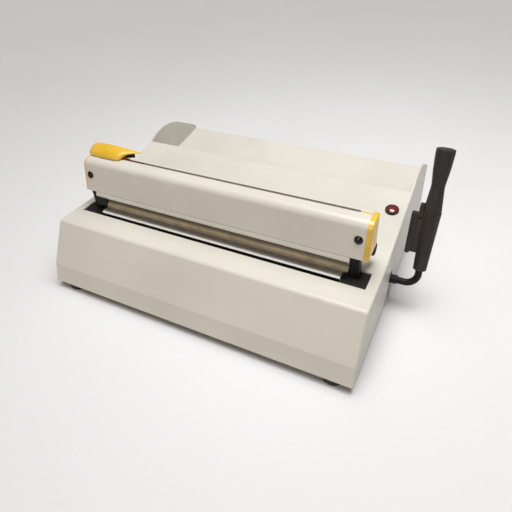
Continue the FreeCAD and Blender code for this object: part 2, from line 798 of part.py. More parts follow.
# Press plates: a window rides on each eccentric, and an arm reaches forward into the post
for side in SIDES:
    window_front, window_back = (WINDOW_Y + sign + CAM_RADIUS + sign + "window_side" for sign in (" - ", " + "))
    window_low, window_high = (WINDOW_Z + sign + CAM_RADIUS + sign + "window_gap" for sign in (" - ", " + "))
    frame_front, frame_low = window_front + " - press_frame", window_low + " - press_frame"
    frame_back, frame_high = window_back + " + press_frame", window_high + " + press_frame"
    points = [
        (back(ARM_TIP), ARM_LOW),
        (frame_front, ARM_LOW),
        (frame_front, frame_low),
        (frame_back, frame_low),
        (frame_back, frame_high),
        (frame_front, frame_high),
        (frame_front, ARM_HIGH),
        (back(ARM_TIP), ARM_HIGH),
    ]
    low, high = about_post(side, "press_thickness / 2")
    plate = profile("YZ_Plane", points, low, high)
    tip = value(back(ARM_TIP))
    rounded(plate, lambda edge: runs_along(edge, X_AXIS) and not near(edge.CenterOfMass.y, tip), "press_corner")
    window = block((low, window_front, window_low), (high, window_back, window_high))
    node("press_plate_" + side, cut(plate, window, *pin_holes(side, "pin_radius + run_gap")))
node("press_pins", *[pin for side in SIDES for pin in pin_holes(side, "pin_radius")])

# Return springs under the posts: a flat wire led along tangent arcs, two to each half turn
def tangent_arc(start, corner, end):
    """The arc that leaves start towards a corner and reaches end from it."""
    chord_middle = (start + end) / 2
    half_chord = (end - start).Length / 2
    leg = (corner - start).Length
    rise = (corner - chord_middle).Length
    bulge = leg * half_chord / rise * (1 - half_chord / leg)
    return Part.Arc(start, chord_middle + (corner - chord_middle) / rise * bulge, end).toShape()


def coil_path(radius, pitch, turns):
    edges = []
    step = math.pi / 2
    for quarter in range(4 * turns):
        spots = []
        headings = []
        for angle in (quarter * step, (quarter + 1) * step):
            around = FreeCAD.Vector(math.cos(angle), math.sin(angle), 0)
            spots.append(around * radius + Z_AXIS * (pitch * angle / math.tau))
            headings.append((Z_AXIS.cross(around) * radius + Z_AXIS * (pitch / math.tau)).normalize())
        run = spots[1] - spots[0]
        both = headings[0] + headings[1]
        square = 4 - both.dot(both)
        along = 2 * run.dot(both)
        leg = (math.sqrt(along ** 2 + 4 * square * run.dot(run)) - along) / (2 * square)
        corners = (spots[0] + headings[0] * leg, spots[1] - headings[1] * leg)
        joint = (corners[0] + corners[1]) / 2
        edges.append(tangent_arc(spots[0], corners[0], joint))
        edges.append(tangent_arc(joint, corners[1], spots[1]))
    return Part.Wire(edges)


def flat_coil(radius, strip, wire, length, turns):
    """A coil of flat wire that stands on its lowest turn."""
    pitch = (length - wire) / turns
    path = coil_path(radius, pitch, turns)
    print("least gap between the coils, mm:", round(pitch - wire, 3))
    corners = [FreeCAD.Vector(radius + strip * x / 2, 0, wire * z / 2) for x, z in ((-1, -1), (1, -1), (1, 1), (-1, 1))]
    sweep = Part.BRepOffsetAPI.MakePipeShell(path)
    sweep.setBiNormalMode(Z_AXIS)
    sweep.add(Part.makePolygon(corners + corners[:1]))
    sweep.build()
    sweep.makeSolid()
    return sweep.shape()


spring_sizes = [value(name) for name in ("spring_radius", "spring_strip", "spring_wire", "spring_length")]
coil = flat_coil(*spring_sizes, round(value("spring_turns")))
for side in SIDES:
    spring = doc.addObject("Part::Feature", "Spring")
    spring.Shape = coil
    spring.Placement = FreeCAD.Placement()
    spot = (off_middle(side, POST_PLACE), back("((%s + %s) / 2)" % (POST_FRONT, POST_BACK)),
            PLATE_TOP + " + column_floor + spring_wire / 2")
    node("return_spring_" + side, spring, spot=spot)

# Lever: one bent rod is both the shaft and the arm, with eccentrics, bearings, collar, socket and grip on it
BEND_X = "(%s - bend_radius)" % LEVER_PLACE
SHAFT_END = "(%s + bush_length + collar_gap)" % BRACKET_PLACE
bend = doc.addObject("Part::Torus", "Bend")
bend.Angle3 = 90
bend_turn = FreeCAD.Rotation(X_AXIS, 90).multiply(FreeCAD.Rotation(Z_AXIS, -90))
bend.Placement = FreeCAD.Placement(FreeCAD.Vector(), bend_turn)
bind(bend, "Radius1", "bend_radius")
bind(bend, "Radius2", "shaft_radius")
place(bend, (BEND_X, "0", "bend_radius"))
shaft_start = "-%s - ring_land" % SHAFT_END
shaft = cylinder("x", "shaft_radius", (shaft_start, "0", "0"), "%s - (%s)" % (BEND_X, shaft_start))
arm = cylinder("z", "shaft_radius", (LEVER_PLACE, "0", "bend_radius"), "rod_reach - bend_radius")
groove_spot = ("-%s - ring_thickness - run_gap" % SHAFT_END, "0", "0")
ring_groove = tube("x", "2 * shaft_radius", "shaft_radius - ring_bite", groove_spot, "ring_thickness + 2 * run_gap")
node("lever_rod", cut(fused(shaft, bend, arm), ring_groove), spot=SHAFT_SPOT, tilt="-lever_lean")
ring_spot = ("-%s - ring_thickness" % SHAFT_END, "0", "0")
ring = tube("x", "shaft_radius + ring_rim", "shaft_radius - ring_bite + run_gap", ring_spot, "ring_thickness")
ring_mouth = block((ring_spot[0] + " - ring_thickness", "-ring_mouth", "-3 * shaft_radius"),
                   (ring_spot[0] + " + 2 * ring_thickness", "ring_mouth", "0"))
node("retaining_ring", cut(ring, ring_mouth), spot=SHAFT_SPOT, tilt="-lever_lean")
collar_spot = (SHAFT_END + " + collar_gap", "0", "0")
node("lever_collar", tube("x", "collar_radius", "shaft_radius + run_gap", collar_spot, "collar_length"),
     spot=SHAFT_SPOT, tilt="-lever_lean")

WING_EDGE = "(%s - wing_reach)" % LEVER_PLACE
wing_outline = [
    (LEVER_PLACE, "wing_low"),
    (WING_EDGE + " + 2 * wing_lip", "wing_low"),
    (WING_EDGE + " + wing_lip", "wing_low - wing_lip"),
    (WING_EDGE, "wing_low - wing_lip / 2"),
    (WING_EDGE, "wing_high"),
    (LEVER_PLACE + " - wing_step", "wing_high"),
    (LEVER_PLACE + " - wing_step", "wing_step_high"),
    (LEVER_PLACE, "wing_step_high"),
]
socket = cone("z", "socket_foot_radius", "socket_head_radius", (LEVER_PLACE, "0", "socket_start"),
              "socket_end - socket_start")
wing = profile("XZ_Plane", wing_outline, "-wing_thickness / 2", "wing_thickness / 2")
wing_hole_spot = (LEVER_PLACE + " - wing_hole_reach", "-wing_thickness", "wing_high - wing_hole_drop")
wing_hole = cylinder("y", "wing_hole", wing_hole_spot, "2 * wing_thickness")
rod_bore = cylinder("z", "shaft_radius + run_gap", (LEVER_PLACE, "0", "0"), "2 * rod_reach")
grip_room = cylinder("z", "grip_foot_radius + fit_gap", (LEVER_PLACE, "0", "socket_end"), "rod_reach")
node("lever_socket", cut(fused(socket, wing), wing_hole, rod_bore, grip_room), spot=SHAFT_SPOT, tilt="-lever_lean")

grip = turned([
    ("0", "socket_end"),
    ("grip_foot_radius", "socket_end"),
    ("grip_taper_radius", "grip_taper"),
    ("grip_waist_radius", "grip_waist"),
    ("grip_swell_radius", "grip_swell"),
    ("grip_flare_radius", "grip_flare"),
    ("grip_shoulder_radius", "grip_shoulder"),
    ("grip_end_radius", "grip_end"),
    ("0", "grip_end"),
])
grip_bore = cylinder("z", "shaft_radius + run_gap", ("0", "0", "0"), "rod_reach + fit_gap")
node("lever_grip", together([cut(grip, grip_bore)], (LEVER_PLACE, "0", "0"), "0"), spot=SHAFT_SPOT,
     tilt="-lever_lean")

# Eccentrics on the shaft, thick side forward, with a grub screw each
grubs = []
for side in SIDES:
    low = about_post(side, "eccentric_width / 2")[0]
    cam = cylinder("x", CAM_RADIUS, (low, "-" + ECCENTRICITY, "0"), "eccentric_width")
    bore = cylinder("x", "shaft_radius + run_gap", (low, "0", "0"), "eccentric_width")
    grub_x = off_middle(side, POST_PLACE)
    grub_hole = cylinder("y", "grub_radius + run_gap", (grub_x, "-3 * %s" % CAM_RADIUS, "0"), "3 * " + CAM_RADIUS)
    node("eccentric_" + side, cut(cam, bore, grub_hole), spot=SHAFT_SPOT, tilt="-press_angle / 2")
    grubs.append(cylinder("y", "grub_radius", (grub_x, "-shaft_radius - run_gap - grub_length", "0"), "grub_length"))
node("grub_screws", *grubs, spot=SHAFT_SPOT, tilt="-press_angle / 2")

# Bearings: flanged bushes in upright brackets screwed to the base plate
for side in SIDES:
    y, z = SHAFT_SPOT[1:]
    low, high = span(side, BRACKET_PLACE, BRACKET_PLACE + " + bracket_thickness")
    upright = block((low, back("(shaft_setback - bracket_radius)"), PLATE_TOP),
                    (high, back("(shaft_setback + bracket_radius)"), "shaft_height"))
    head = cylinder("x", "bracket_radius", (low, y, z), "bracket_thickness")
    bush_hole = cylinder("x", "bush_radius + run_gap", (low, y, z), "bracket_thickness")
    low, high = span(side, BRACKET_PLACE + " - bracket_foot", BRACKET_PLACE + " + bracket_thickness")
    foot_plate = block((low, back("(shaft_setback - bracket_radius)"), PLATE_TOP),
                       (high, back("(shaft_setback + bracket_radius)"), PLATE_TOP + " + bracket_thickness"))
    screw_holes = [hole(sx, sy, PLATE_TOP, PLATE_TOP + " + 2 * bracket_thickness") for sx, sy in BRACKET_SCREWS]
    node("bearing_bracket_" + side, cut(fused(upright, head, foot_plate), bush_hole, *screw_holes))
    low = span(side, BRACKET_PLACE + " - bush_flange", BRACKET_PLACE)[0]
    rim = cylinder("x", "bush_radius + bush_rim", (low, y, z), "bush_flange")
    low = span(side, BRACKET_PLACE, BRACKET_PLACE + " + bush_length")[0]
    barrel = cylinder("x", "bush_radius", (low, y, z), "bush_length")
    low = span(side, BRACKET_PLACE + " - 2 * bush_flange", BRACKET_PLACE + " + 2 * bush_length")[0]
    bush_bore = cylinder("x", "shaft_radius + run_gap", (low, y, z), "2 * (bush_flange + bush_length)")
    node("bearing_bush_" + side, cut(fused(rim, barrel), bush_bore))
BRACKET_SEAT = PLATE_TOP + " + bracket_thickness"
node("bracket_screws", *[screw(x, y, BRACKET_SEAT, "bracket_thickness + plate_thickness", False)
                         for x, y in BRACKET_SCREWS])

# Beam: a bent hood with a leaning front, a rail that leaves the cutter's slit open, and moulded end caps
hood = profile("YZ_Plane", [
    (back(BEAM_FRONT), BEAM_LOW),
    (back(front_wall("beam_height", "0")), BEAM_TOP),
    (back(SLIT_FRONT), BEAM_TOP),
    (back(SLIT_FRONT), BEAM_LOW),
], "-" + BEAM_END, BEAM_END)
corner_rounded(hood, front_wall("beam_height", "0"), BEAM_TOP, "beam_radius")
hood_core = profile("YZ_Plane", [
    (back(front_wall("-beam_wall", WALL_RUN)), BEAM_LOW + " - beam_wall"),
    (back(front_wall("beam_height - beam_wall", WALL_RUN)), BEAM_TOP + " - beam_wall"),
    (back("(%s - beam_wall)" % SLIT_FRONT), BEAM_TOP + " - beam_wall"),
    (back("(%s - beam_wall)" % SLIT_FRONT), BEAM_LOW + " - beam_wall"),
], "-" + BEAM_END, BEAM_END)
corner_rounded(hood_core, front_wall("beam_height - beam_wall", WALL_RUN), BEAM_TOP + " - beam_wall",
               "beam_radius - beam_wall")
node("beam_cover", cut(hood, hood_core, *[beam_screw_hole(side) for side in SIDES]))
node("beam_rail", block(("-" + BEAM_END, back(SLIT_BACK), BEAM_LOW),
                        (BEAM_END, back("(%s + rail_thickness)" % SLIT_BACK), BEAM_TOP)))
screws = []
for side in SIDES:
    x = off_middle(side, BEAM_SCREW_X)
    head = cylinder("y", "beam_screw_radius", (x, "-beam_screw_head", "0"), "beam_screw_head")
    screws.append(fused(head, cylinder("y", "beam_screw_shank", (x, "0", "0"), "beam_screw_reach")))
node("beam_screws", *screws, spot=SCREW_SPOT, tilt=BEAM_TILT)

for side in SIDES:
    cap_outside = "%s + cap_%s" % (BEAM_END, side)
    low, high = span(side, BEAM_END, cap_outside)
    cap = profile("YZ_Plane", [
        (back(BEAM_FRONT), BEAM_LOW),
        (back(front_wall("beam_height", "0")), BEAM_TOP),
        (back("(%s + rail_thickness)" % SLIT_BACK), BEAM_TOP),
        (back("(%s + rail_thickness)" % SLIT_BACK), BEAM_LOW),
    ], low, high)
    corner_rounded(cap, front_wall("beam_height", "0"), BEAM_TOP, "beam_radius")
    outer_face = SIDES[side] * value(cap_outside)
    rounded(cap, lambda edge: near(edge.CenterOfMass.x, outer_face), "cap_curve")
    low, high = span(side, BEAM_END + " - cap_tongue", "%s + cap_%s / 2" % (BEAM_END, side))
    tongue = block((low, back("(%s + fit_gap)" % POST_BACK), BEAM_LOW + " + beam_wall"),
                   (high, back("(%s - beam_wall - fit_gap)" % SLIT_FRONT), BEAM_TOP + " - beam_radius"))
    low, high = span(side, BEAM_END + " - cap_tab", "%s + cap_%s / 2" % (BEAM_END, side))
    tab = block((low, back("(%s + hole_gap)" % SLIT_FRONT), BEAM_LOW),
                (high, back("(%s - hole_gap)" % SLIT_BACK), BEAM_TOP))
    node("end_cap_" + side, fused(cap, tongue, tab))

# Upper jaw: a heated bar with a rounded foot under the carrier, in a thin release cover
JAW_ROUND = "(deck_height + bar_rise + jaw_gap + jaw_width / 2)"
CARRIER_FRONT = "(jaw_setback - beam_offset - carrier_proud)"
CARRIER_TOP = BEAM_LOW + " - carrier_gap"
carrier = profile("YZ_Plane", [
    (back(CARRIER_FRONT), CARRIER_LOW),
    (back(CARRIER_FRONT), CARRIER_LOW + " + carrier_lip"),
    (back(BEAM_FRONT), CARRIER_TOP),
    (back(front_wall("-carrier_gap", WALL_RUN + " + fit_gap")), CARRIER_TOP),
    (back(front_wall("carrier_rise", WALL_RUN + " + fit_gap")), BEAM_LOW + " + carrier_rise"),
    (back("(%s + carrier_depth)" % CARRIER_FRONT), BEAM_LOW + " + carrier_rise"),
    (back("(%s + carrier_depth)" % CARRIER_FRONT), CARRIER_LOW),
], "-" + POST_INNER, POST_INNER)
node("jaw_carrier", carrier)


JAW_LEFT = "(holder_length + jaw_end_gap - %s)" % POST_INNER
JAW_RIGHT = "(%s - jaw_end_gap)" % POST_INNER
JAW_SPAN = "%s - %s" % (JAW_RIGHT, JAW_LEFT)


def jaw_form(inset, top):
    """A round bar on a narrower neck, drawn in from the outside of the release cover."""
    neck = "(jaw_neck / 2 - (%s))" % inset
    stem = block((JAW_LEFT, back("(%s - %s)" % (NOSE_LINE, neck)), JAW_ROUND),
                 (JAW_RIGHT, back("(%s + %s)" % (NOSE_LINE, neck)), top))
    nose = cylinder("x", "jaw_width / 2 - (%s)" % inset, (JAW_LEFT, back(NOSE_LINE), JAW_ROUND), JAW_SPAN)
    return fused(stem, nose)


node("release_cover", cut(jaw_form("0", CARRIER_LOW), jaw_form("cover_skin", BEAM_LOW)))
heater_bore = cylinder("x", "heater_radius + hole_gap", (JAW_LEFT, back(NOSE_LINE), JAW_ROUND), JAW_SPAN)
node("upper_jaw", cut(jaw_form("cover_skin + run_gap", CARRIER_LOW), heater_bore))
node("heating_rod", cylinder("x", "heater_radius", (JAW_LEFT + " + heater_inset", back(NOSE_LINE), JAW_ROUND),
                             JAW_SPAN + " - 2 * heater_inset"))
thermostat_low = ("thermostat_place", back("(%s + carrier_depth)" % CARRIER_FRONT), BEAM_LOW + " + thermostat_lift")
thermostat_box = block(thermostat_low, ("thermostat_place + thermostat_length",
                                        thermostat_low[1] + " + thermostat_depth / 2",
                                        thermostat_low[2] + " + thermostat_height"))
thermostat_can = cylinder("y", "thermostat_height / 2", ("thermostat_place + thermostat_length / 2", thermostat_low[1],
                                                         thermostat_low[2] + " + thermostat_height / 2"),
                          "thermostat_depth")
node("thermostat", fused(thermostat_box, thermostat_can))

# Cutter: a moulded knob on the beam, with a plate, a guide shoe and a pointed blade below it in the slit
CUTTER_SPOT = ("cutter_inset - " + BEAM_END, back("(jaw_setback + slit_offset)"), BEAM_TOP + " + knob_lift")
knob_plan = profile("XY_Plane", [
    ("-knob_left", "knob_back"),
    ("-knob_left", "-knob_nose"),
    ("-knob_shoulder", "-knob_front"),
    ("knob_hip", "-knob_front"),
    ("knob_right", "knob_tip"),
    ("knob_right - knob_tip_width / 2", "knob_tip + knob_tip_width"),
    ("knob_waist", "knob_back"),
], "0", "knob_height")
front_line = value("-knob_front")
rounded(knob_plan, lambda edge: runs_along(edge, Z_AXIS) and near(edge.CenterOfMass.y, front_line), "knob_curve")
knob_side = profile("XZ_Plane", [
    ("-knob_left", "0"),
    ("knob_right - knob_tail", "0"),
    ("knob_right", "knob_tail_lift"),
    ("knob_right", "knob_tail_height"),
    ("knob_right - knob_tail", "knob_tail_height"),
    ("knob_crest_right", "knob_height"),
    ("-knob_crest_left", "knob_height"),
    ("-knob_left", "knob_left_height"),
], "-2 * knob_tip", "2 * knob_tip")
knob_crest = value("knob_height")
rounded(knob_side, lambda edge: runs_along(edge, Y_AXIS) and near(edge.CenterOfMass.z, knob_crest), "knob_curve")
knob_arch = cylinder("x", "knob_arch", ("-knob_left", "0", "knob_height - knob_arch"), "knob_left + knob_right")
knob = doc.addObject("Part::MultiCommon", "Knob")
knob.Shapes = [knob_plan, knob_side, knob_arch]
node("cutter_knob", knob, spot=CUTTER_SPOT)
PLATE_DROP = "(beam_height + knob_lift + cutter_plate_drop)"
BLADE_TOP = "(beam_height + knob_lift + fit_gap)"
screw_places = ["blade_place %s blade_screw_pitch / 2" % sign for sign in "-+"]
BLADE_SCREW_Z = "-" + BLADE_TOP + " - cutter_plate_drop / 2"
blade_screw_holes = [cylinder("y", "blade_screw + run_gap", (x, "-2 * cutter_plate", BLADE_SCREW_Z), "4 * cutter_plate")
                     for x in screw_places]
plate = block(("-cutter_plate_length / 2", "-cutter_plate / 2", "-" + PLATE_DROP),
              ("cutter_plate_length / 2", "cutter_plate / 2", "0"))
node("cutter_plate", cut(plate, *blade_screw_holes), spot=CUTTER_SPOT)
blade = profile("XZ_Plane", [
    ("blade_place - blade_length / 2", "-" + BLADE_TOP),
    ("blade_place - blade_length / 2", "-%s - blade_drop / 2" % BLADE_TOP),
    ("blade_place + blade_length / 4", "-%s - blade_drop" % BLADE_TOP),
    ("blade_place + blade_length / 2", "-%s - blade_drop / 2" % BLADE_TOP),
    ("blade_place + blade_length / 2", "-" + BLADE_TOP),
], "cutter_plate / 2", "cutter_plate / 2 + blade_thickness")
node("cutter_blade", cut(blade, *blade_screw_holes), spot=CUTTER_SPOT)


def blade_screw(x):
    seat = "-cutter_plate / 2 - blade_thickness"
    head = cylinder("y", "blade_screw_head", (x, seat + " - blade_screw", BLADE_SCREW_Z), "blade_screw")
    return fused(head, cylinder("y", "blade_screw", (x, seat, BLADE_SCREW_Z), "cutter_plate + 2 * blade_thickness"))


blade_screws = [blade_screw(x) for x in screw_places]
node("cutter_screws", *blade_screws, spot=CUTTER_SPOT)
node("cutter_shoe", block(("cutter_plate_length / 2", "slide_gap - slit_width / 2", "-shoe_height"),
                          ("cutter_plate_length / 2 + shoe_length", "slit_width / 2 - slide_gap", "0")), spot=CUTTER_SPOT)

# Pilot lamp on the ramp
bezel = tube("z", "lamp_radius", "lens_radius + run_gap", ("0", "0", "0"), "lamp_rise")
node("lamp_bezel", bezel, spot=LAMP_SPOT, tilt=RAMP_TILT)
lens = turned([("0", "0"), ("lens_radius", "0"), ("lens_radius", "lamp_rise"), ("0", "lamp_rise + lens_dome")])
node("lamp_lens", lens, spot=LAMP_SPOT, tilt=RAMP_TILT)
lamp_barrel = cylinder("z", "lamp_hole - hole_gap", ("0", "0", "-lamp_length"), "lamp_length")
lamp_nut = prism(6, "lamp_radius", ("0", "0", "-case_wall - lamp_nut"), "lamp_nut")
node("lamp_body", fused(lamp_barrel, lamp_nut), spot=LAMP_SPOT, tilt=RAMP_TILT)

# Mains inlet, power switch and terminals at the back
OUTSIDE = "case_depth / 2"


def panel_block(x, half_wide, half_tall, front, rear):
    return block(("%s - (%s)" % (x, half_wide), front, "inlet_height - (%s)" % half_tall),
                 ("%s + %s" % (x, half_wide), rear, "inlet_height + %s" % half_tall))


def panel_frame(x, wide, tall, depth, opening, opening_depth):
    """A panel fitting: a flange outside the back wall, a box inside it and an opening."""
    half_wide, half_tall = wide + " / 2", tall + " / 2"
    face = OUTSIDE + " + inlet_flange"
    flange = panel_block(x, half_wide + " + inlet_rim", half_tall + " + inlet_rim", OUTSIDE, face)
    box = panel_block(x, half_wide, half_tall, OUTSIDE + " - " + depth, face)
    mouth = panel_block(x, *opening, OUTSIDE + " - " + opening_depth, OUTSIDE + " + 2 * inlet_flange")
    return cut(fused(flange, box), mouth)


inlet = panel_frame(INLET_PLACE, "inlet_width", "inlet_tall", "inlet_depth",
                    ("(inlet_width / 2 - inlet_wall)", "(inlet_tall / 2 - inlet_wall)"), "(inlet_depth - inlet_wall)")


def inlet_pin(across, below, above):
    x = "%s + %d * inlet_pitch" % (INLET_PLACE, across)
    return block((x + " - pin_blade", OUTSIDE + " - inlet_depth + inlet_wall / 2", "inlet_height - %d * pin_blade" % below),
                 (x + " + pin_blade", OUTSIDE + " - inlet_wall", "inlet_height + %d * pin_blade" % above))


node("mains_inlet", fused(inlet, inlet_pin(-1, 3, 1), inlet_pin(0, 1, 3), inlet_pin(1, 3, 1)))
ROCKER_SPOT = (SWITCH_PLACE, "case_depth / 2 - rocker_sink", "inlet_height")
switch = panel_frame(SWITCH_PLACE, "switch_width", "switch_tall", "switch_depth",
                     ("(rocker_width / 2 + rocker_gap)", "(rocker_tall / 2 + 3 * rocker_gap)"),
                     "(switch_depth - inlet_wall)")
stub_low = ("-rocker_width / 2 - rocker_stub", "0", "0")
stub_hole_spot = (ROCKER_SPOT[0] + stub_low[0] + " - rocker_gap",) + ROCKER_SPOT[1:]
stub_hole = cylinder("x", "rocker_pin + run_gap", stub_hole_spot, "rocker_width + 2 * (rocker_stub + rocker_gap)")
node("switch_body", cut(switch, stub_hole))
rocker = profile("YZ_Plane", [
    ("-rocker_root", "-rocker_root_half"),
    ("rocker_face", "-rocker_tall / 2"),
    ("rocker_face - rocker_dip", "0"),
    ("rocker_face", "rocker_tall / 2"),
    ("-rocker_root", "rocker_root_half"),
], "-rocker_width / 2", "rocker_width / 2")
stubs = cylinder("x", "rocker_pin", stub_low, "rocker_width + 2 * rocker_stub")
node("switch_rocker", fused(rocker, stubs), spot=ROCKER_SPOT, tilt="-rocker_angle")
TERMINAL_Y = "case_depth / 2 - terminal_inset"
terminal = block((INLET_PLACE + " - terminal_length / 2", TERMINAL_Y, PLATE_TOP),
                 (INLET_PLACE + " + terminal_length / 2", TERMINAL_Y + " + terminal_width",
                  PLATE_TOP + " + terminal_height"))
wells = [prism(8, "terminal_well", ("%s + %s * terminal_length / 4" % (INLET_PLACE, k),
                                    TERMINAL_Y + " + terminal_width / 2", PLATE_TOP + " + terminal_height / 2"),
               "terminal_height") for k in (-1.5, -0.5, 0.5, 1.5)]
node("terminal_block", cut(terminal, *wells))

doc.recompute()
failed = [thing.Name for thing in doc.Objects if "Invalid" in thing.State or "Error" in thing.State]
failed += [thing.Label for thing in nodes if thing.Shape.isNull() or not thing.Shape.isValid()]
if failed:
    raise RuntimeError("These did not build: " + ", ".join(failed))
os.makedirs("parts", exist_ok=True)
for thing in nodes:
    thing.Shape.exportStep("parts/%s.step" % thing.Label)
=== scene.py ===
# %% [markdown]
# # A lever film sealer with a sliding cutter
# The machine is an enamelled steel case with a sealing beam on two posts, a side lever and a cutter on the
# beam. The solids come from a packed assembly, so this lesson dresses them: it gives every piece its finish,
# and makes anew only what a solid can't show well, such as screw recesses, a stretched cloth and a thin
# moulded knob.

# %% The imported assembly
import json
import math

import bmesh
import bpy
import numpy
from mathutils import Matrix, Vector


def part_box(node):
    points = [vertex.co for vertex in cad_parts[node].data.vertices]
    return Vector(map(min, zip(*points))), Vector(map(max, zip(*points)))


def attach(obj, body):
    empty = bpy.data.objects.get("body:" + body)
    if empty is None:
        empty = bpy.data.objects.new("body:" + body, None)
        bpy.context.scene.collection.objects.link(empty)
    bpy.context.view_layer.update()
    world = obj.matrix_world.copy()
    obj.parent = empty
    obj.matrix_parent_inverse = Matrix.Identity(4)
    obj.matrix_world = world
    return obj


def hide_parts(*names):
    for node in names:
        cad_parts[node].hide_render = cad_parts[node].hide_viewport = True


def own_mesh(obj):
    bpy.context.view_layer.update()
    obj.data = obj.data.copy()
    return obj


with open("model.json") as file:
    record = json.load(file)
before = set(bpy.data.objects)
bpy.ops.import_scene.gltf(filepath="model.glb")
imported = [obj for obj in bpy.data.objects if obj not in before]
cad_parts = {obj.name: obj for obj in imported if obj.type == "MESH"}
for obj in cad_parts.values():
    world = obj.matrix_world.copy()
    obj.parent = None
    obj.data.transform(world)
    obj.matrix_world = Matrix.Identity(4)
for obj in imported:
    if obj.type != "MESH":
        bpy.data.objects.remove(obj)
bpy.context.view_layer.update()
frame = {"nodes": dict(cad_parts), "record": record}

MM = 0.001
nodes = frame["nodes"]

# %% [markdown]
# ## Camera
# The photograph looks down on the machine from its front right corner. The camera could be set by eye, but a
# pose worked out from the case's own edges keeps every later comparison honest, so its place and axes are
# written as numbers. The shift stands for a photograph that was cropped off its optical centre.

# %% Camera at the photograph's angle
CAMERA_PLACE = Vector((0.2353, -0.4385, 0.4002))
CAMERA_RIGHT = Vector((0.90280, 0.42870, -0.03431))
CAMERA_UP = Vector((-0.22331, 0.53545, 0.81451))
FOCAL_LENGTH = 31.47
CROP_SHIFT = (-0.0344, -0.0652)
camera_data = bpy.data.cameras.new("photo_camera")
camera_data.lens = FOCAL_LENGTH
camera_data.shift_x, camera_data.shift_y = CROP_SHIFT
camera = bpy.data.objects.new("photo_camera", camera_data)
camera_axes = Matrix((CAMERA_RIGHT, CAMERA_UP, CAMERA_RIGHT.cross(CAMERA_UP))).transposed()
camera.matrix_world = Matrix.Translation(CAMERA_PLACE) @ camera_axes.to_4x4()
bpy.context.scene.collection.objects.link(camera)
bpy.context.scene.camera = camera
print("camera:", tuple(round(x, 3) for x in camera.location))

# %% [markdown]
# ## One way to add a node, one way to read a colour
# Materials and Geometry Nodes are both trees of nodes, so one small function adds a node, sets it and links
# it. Colours are written as the hex values that a paint maker would give, and Blender wants them linear.


# %% Helpers for trees and colours
def linear(code):
    """A hex sRGB colour as linear red, green, blue and alpha."""
    parts = [int(code[i:i + 2], 16) / 255 for i in (1, 3, 5)]
    return tuple(c / 12.92 if c <= 0.04045 else ((c + 0.055) / 1.055) ** 2.4 for c in parts) + (1.0,)


def node(tree, kind, inputs=(), stops=(), **settings):
    """Adds a node. An input takes a value, or the socket that it is linked to."""
    made = tree.nodes.new(kind)
    for name, setting in settings.items():
        setattr(made, name, setting)
    for socket, source in dict(inputs).items():
        if isinstance(source, bpy.types.NodeSocket):
            tree.links.new(source, made.inputs[socket])
        else:
            made.inputs[socket].default_value = source
    for index, (position, colour) in enumerate(stops):
        made.color_ramp.elements[index].position = position
        made.color_ramp.elements[index].color = colour
    return made


print("cream as linear:", [round(c, 3) for c in linear("#c4c1b8")])

# %% [markdown]
# ## Finishes
# No real surface is one flat colour. Each finish here has two close tones in soft patches, and a fine grain
# that changes the gloss and the relief. A picture could be used, but noise in real millimetres has no seams,
# needs no unwrapping and holds from every side. Drawn metals stretch the same noise along the way they were
# drawn.

# %% A finish in two tones with a grain
TONE_STOPS = (0.35, 0.65)
GRAIN_SPAN = (0.3, 0.7)


def finish(name, tones, patch_mm, grain_mm, relief_mm, gloss, stretch=(1, 1, 1), constants=()):
    """Tones in patches, and a grain that moves the roughness between two values and lifts the surface."""
    material = bpy.data.materials.new(name)
    material.use_nodes = True
    tree = material.node_tree
    shader = tree.nodes["Principled BSDF"]
    for socket, constant in dict(constants).items():
        shader.inputs[socket].default_value = constant
    place = node(tree, "ShaderNodeTexCoord").outputs["Object"]
    drawn = node(tree, "ShaderNodeMapping", {"Vector": place, "Scale": stretch}).outputs["Vector"]
    patches = node(tree, "ShaderNodeTexNoise", {
        "Vector": drawn, "Scale": 1 / (patch_mm * MM), "Detail": 4.0}).outputs["Fac"]
    grain = node(tree, "ShaderNodeTexNoise", {
        "Vector": drawn, "Scale": 1 / (grain_mm * MM), "Detail": 2.0}).outputs["Fac"]
    tone = node(tree, "ShaderNodeValToRGB", {"Fac": patches}, [
        (stop, linear(code)) for stop, code in zip(TONE_STOPS, tones)]).outputs["Color"]
    rough = node(tree, "ShaderNodeMapRange", {
        "Value": grain, "From Min": GRAIN_SPAN[0], "From Max": GRAIN_SPAN[1],
        "To Min": gloss[0], "To Max": gloss[1]}).outputs["Result"]
    bump = node(tree, "ShaderNodeBump", {
        "Height": grain, "Distance": relief_mm * MM, "Strength": 1.0}).outputs["Normal"]
    for source, socket in ((tone, "Base Color"), (rough, "Roughness"), (bump, "Normal")):
        tree.links.new(source, shader.inputs[socket])
    return material


print("a finish's grain sets its roughness where the noise runs between", GRAIN_SPAN)

# %% Enamels and plastics
# Powder-coated enamel: baked on as a dust, so it keeps a fine orange peel and a satin gloss.
cream_enamel = finish(
    "cream_powder_enamel", ("#c4c1b8", "#cac7be"),
    patch_mm=90, grain_mm=1.6, relief_mm=0.03, gloss=(0.34, 0.46),
    constants={"IOR": 1.45, "Specular IOR Level": 0.35, "Coat Weight": 0.1, "Coat Roughness": 0.08})
# Grey stoved enamel under the machine: duller and a little dusty.
grey_enamel = finish(
    "grey_stoved_enamel", ("#84847f", "#94938d"),
    patch_mm=60, grain_mm=1.8, relief_mm=0.06, gloss=(0.5, 0.7), constants={"IOR": 1.5})
# Amber ABS: moulded and polished, with faint flow marks and a little light inside it.
amber_abs = finish(
    "amber_moulded_abs", ("#cfa224", "#deb740"),
    patch_mm=22, grain_mm=2.4, relief_mm=0.03, gloss=(0.26, 0.38), stretch=(0.4, 1, 1),
    constants={"IOR": 1.53, "Coat Weight": 0.4, "Coat Roughness": 0.15,
               "Subsurface Weight": 0.1, "Subsurface Radius": (0.004, 0.0025, 0.0005)})
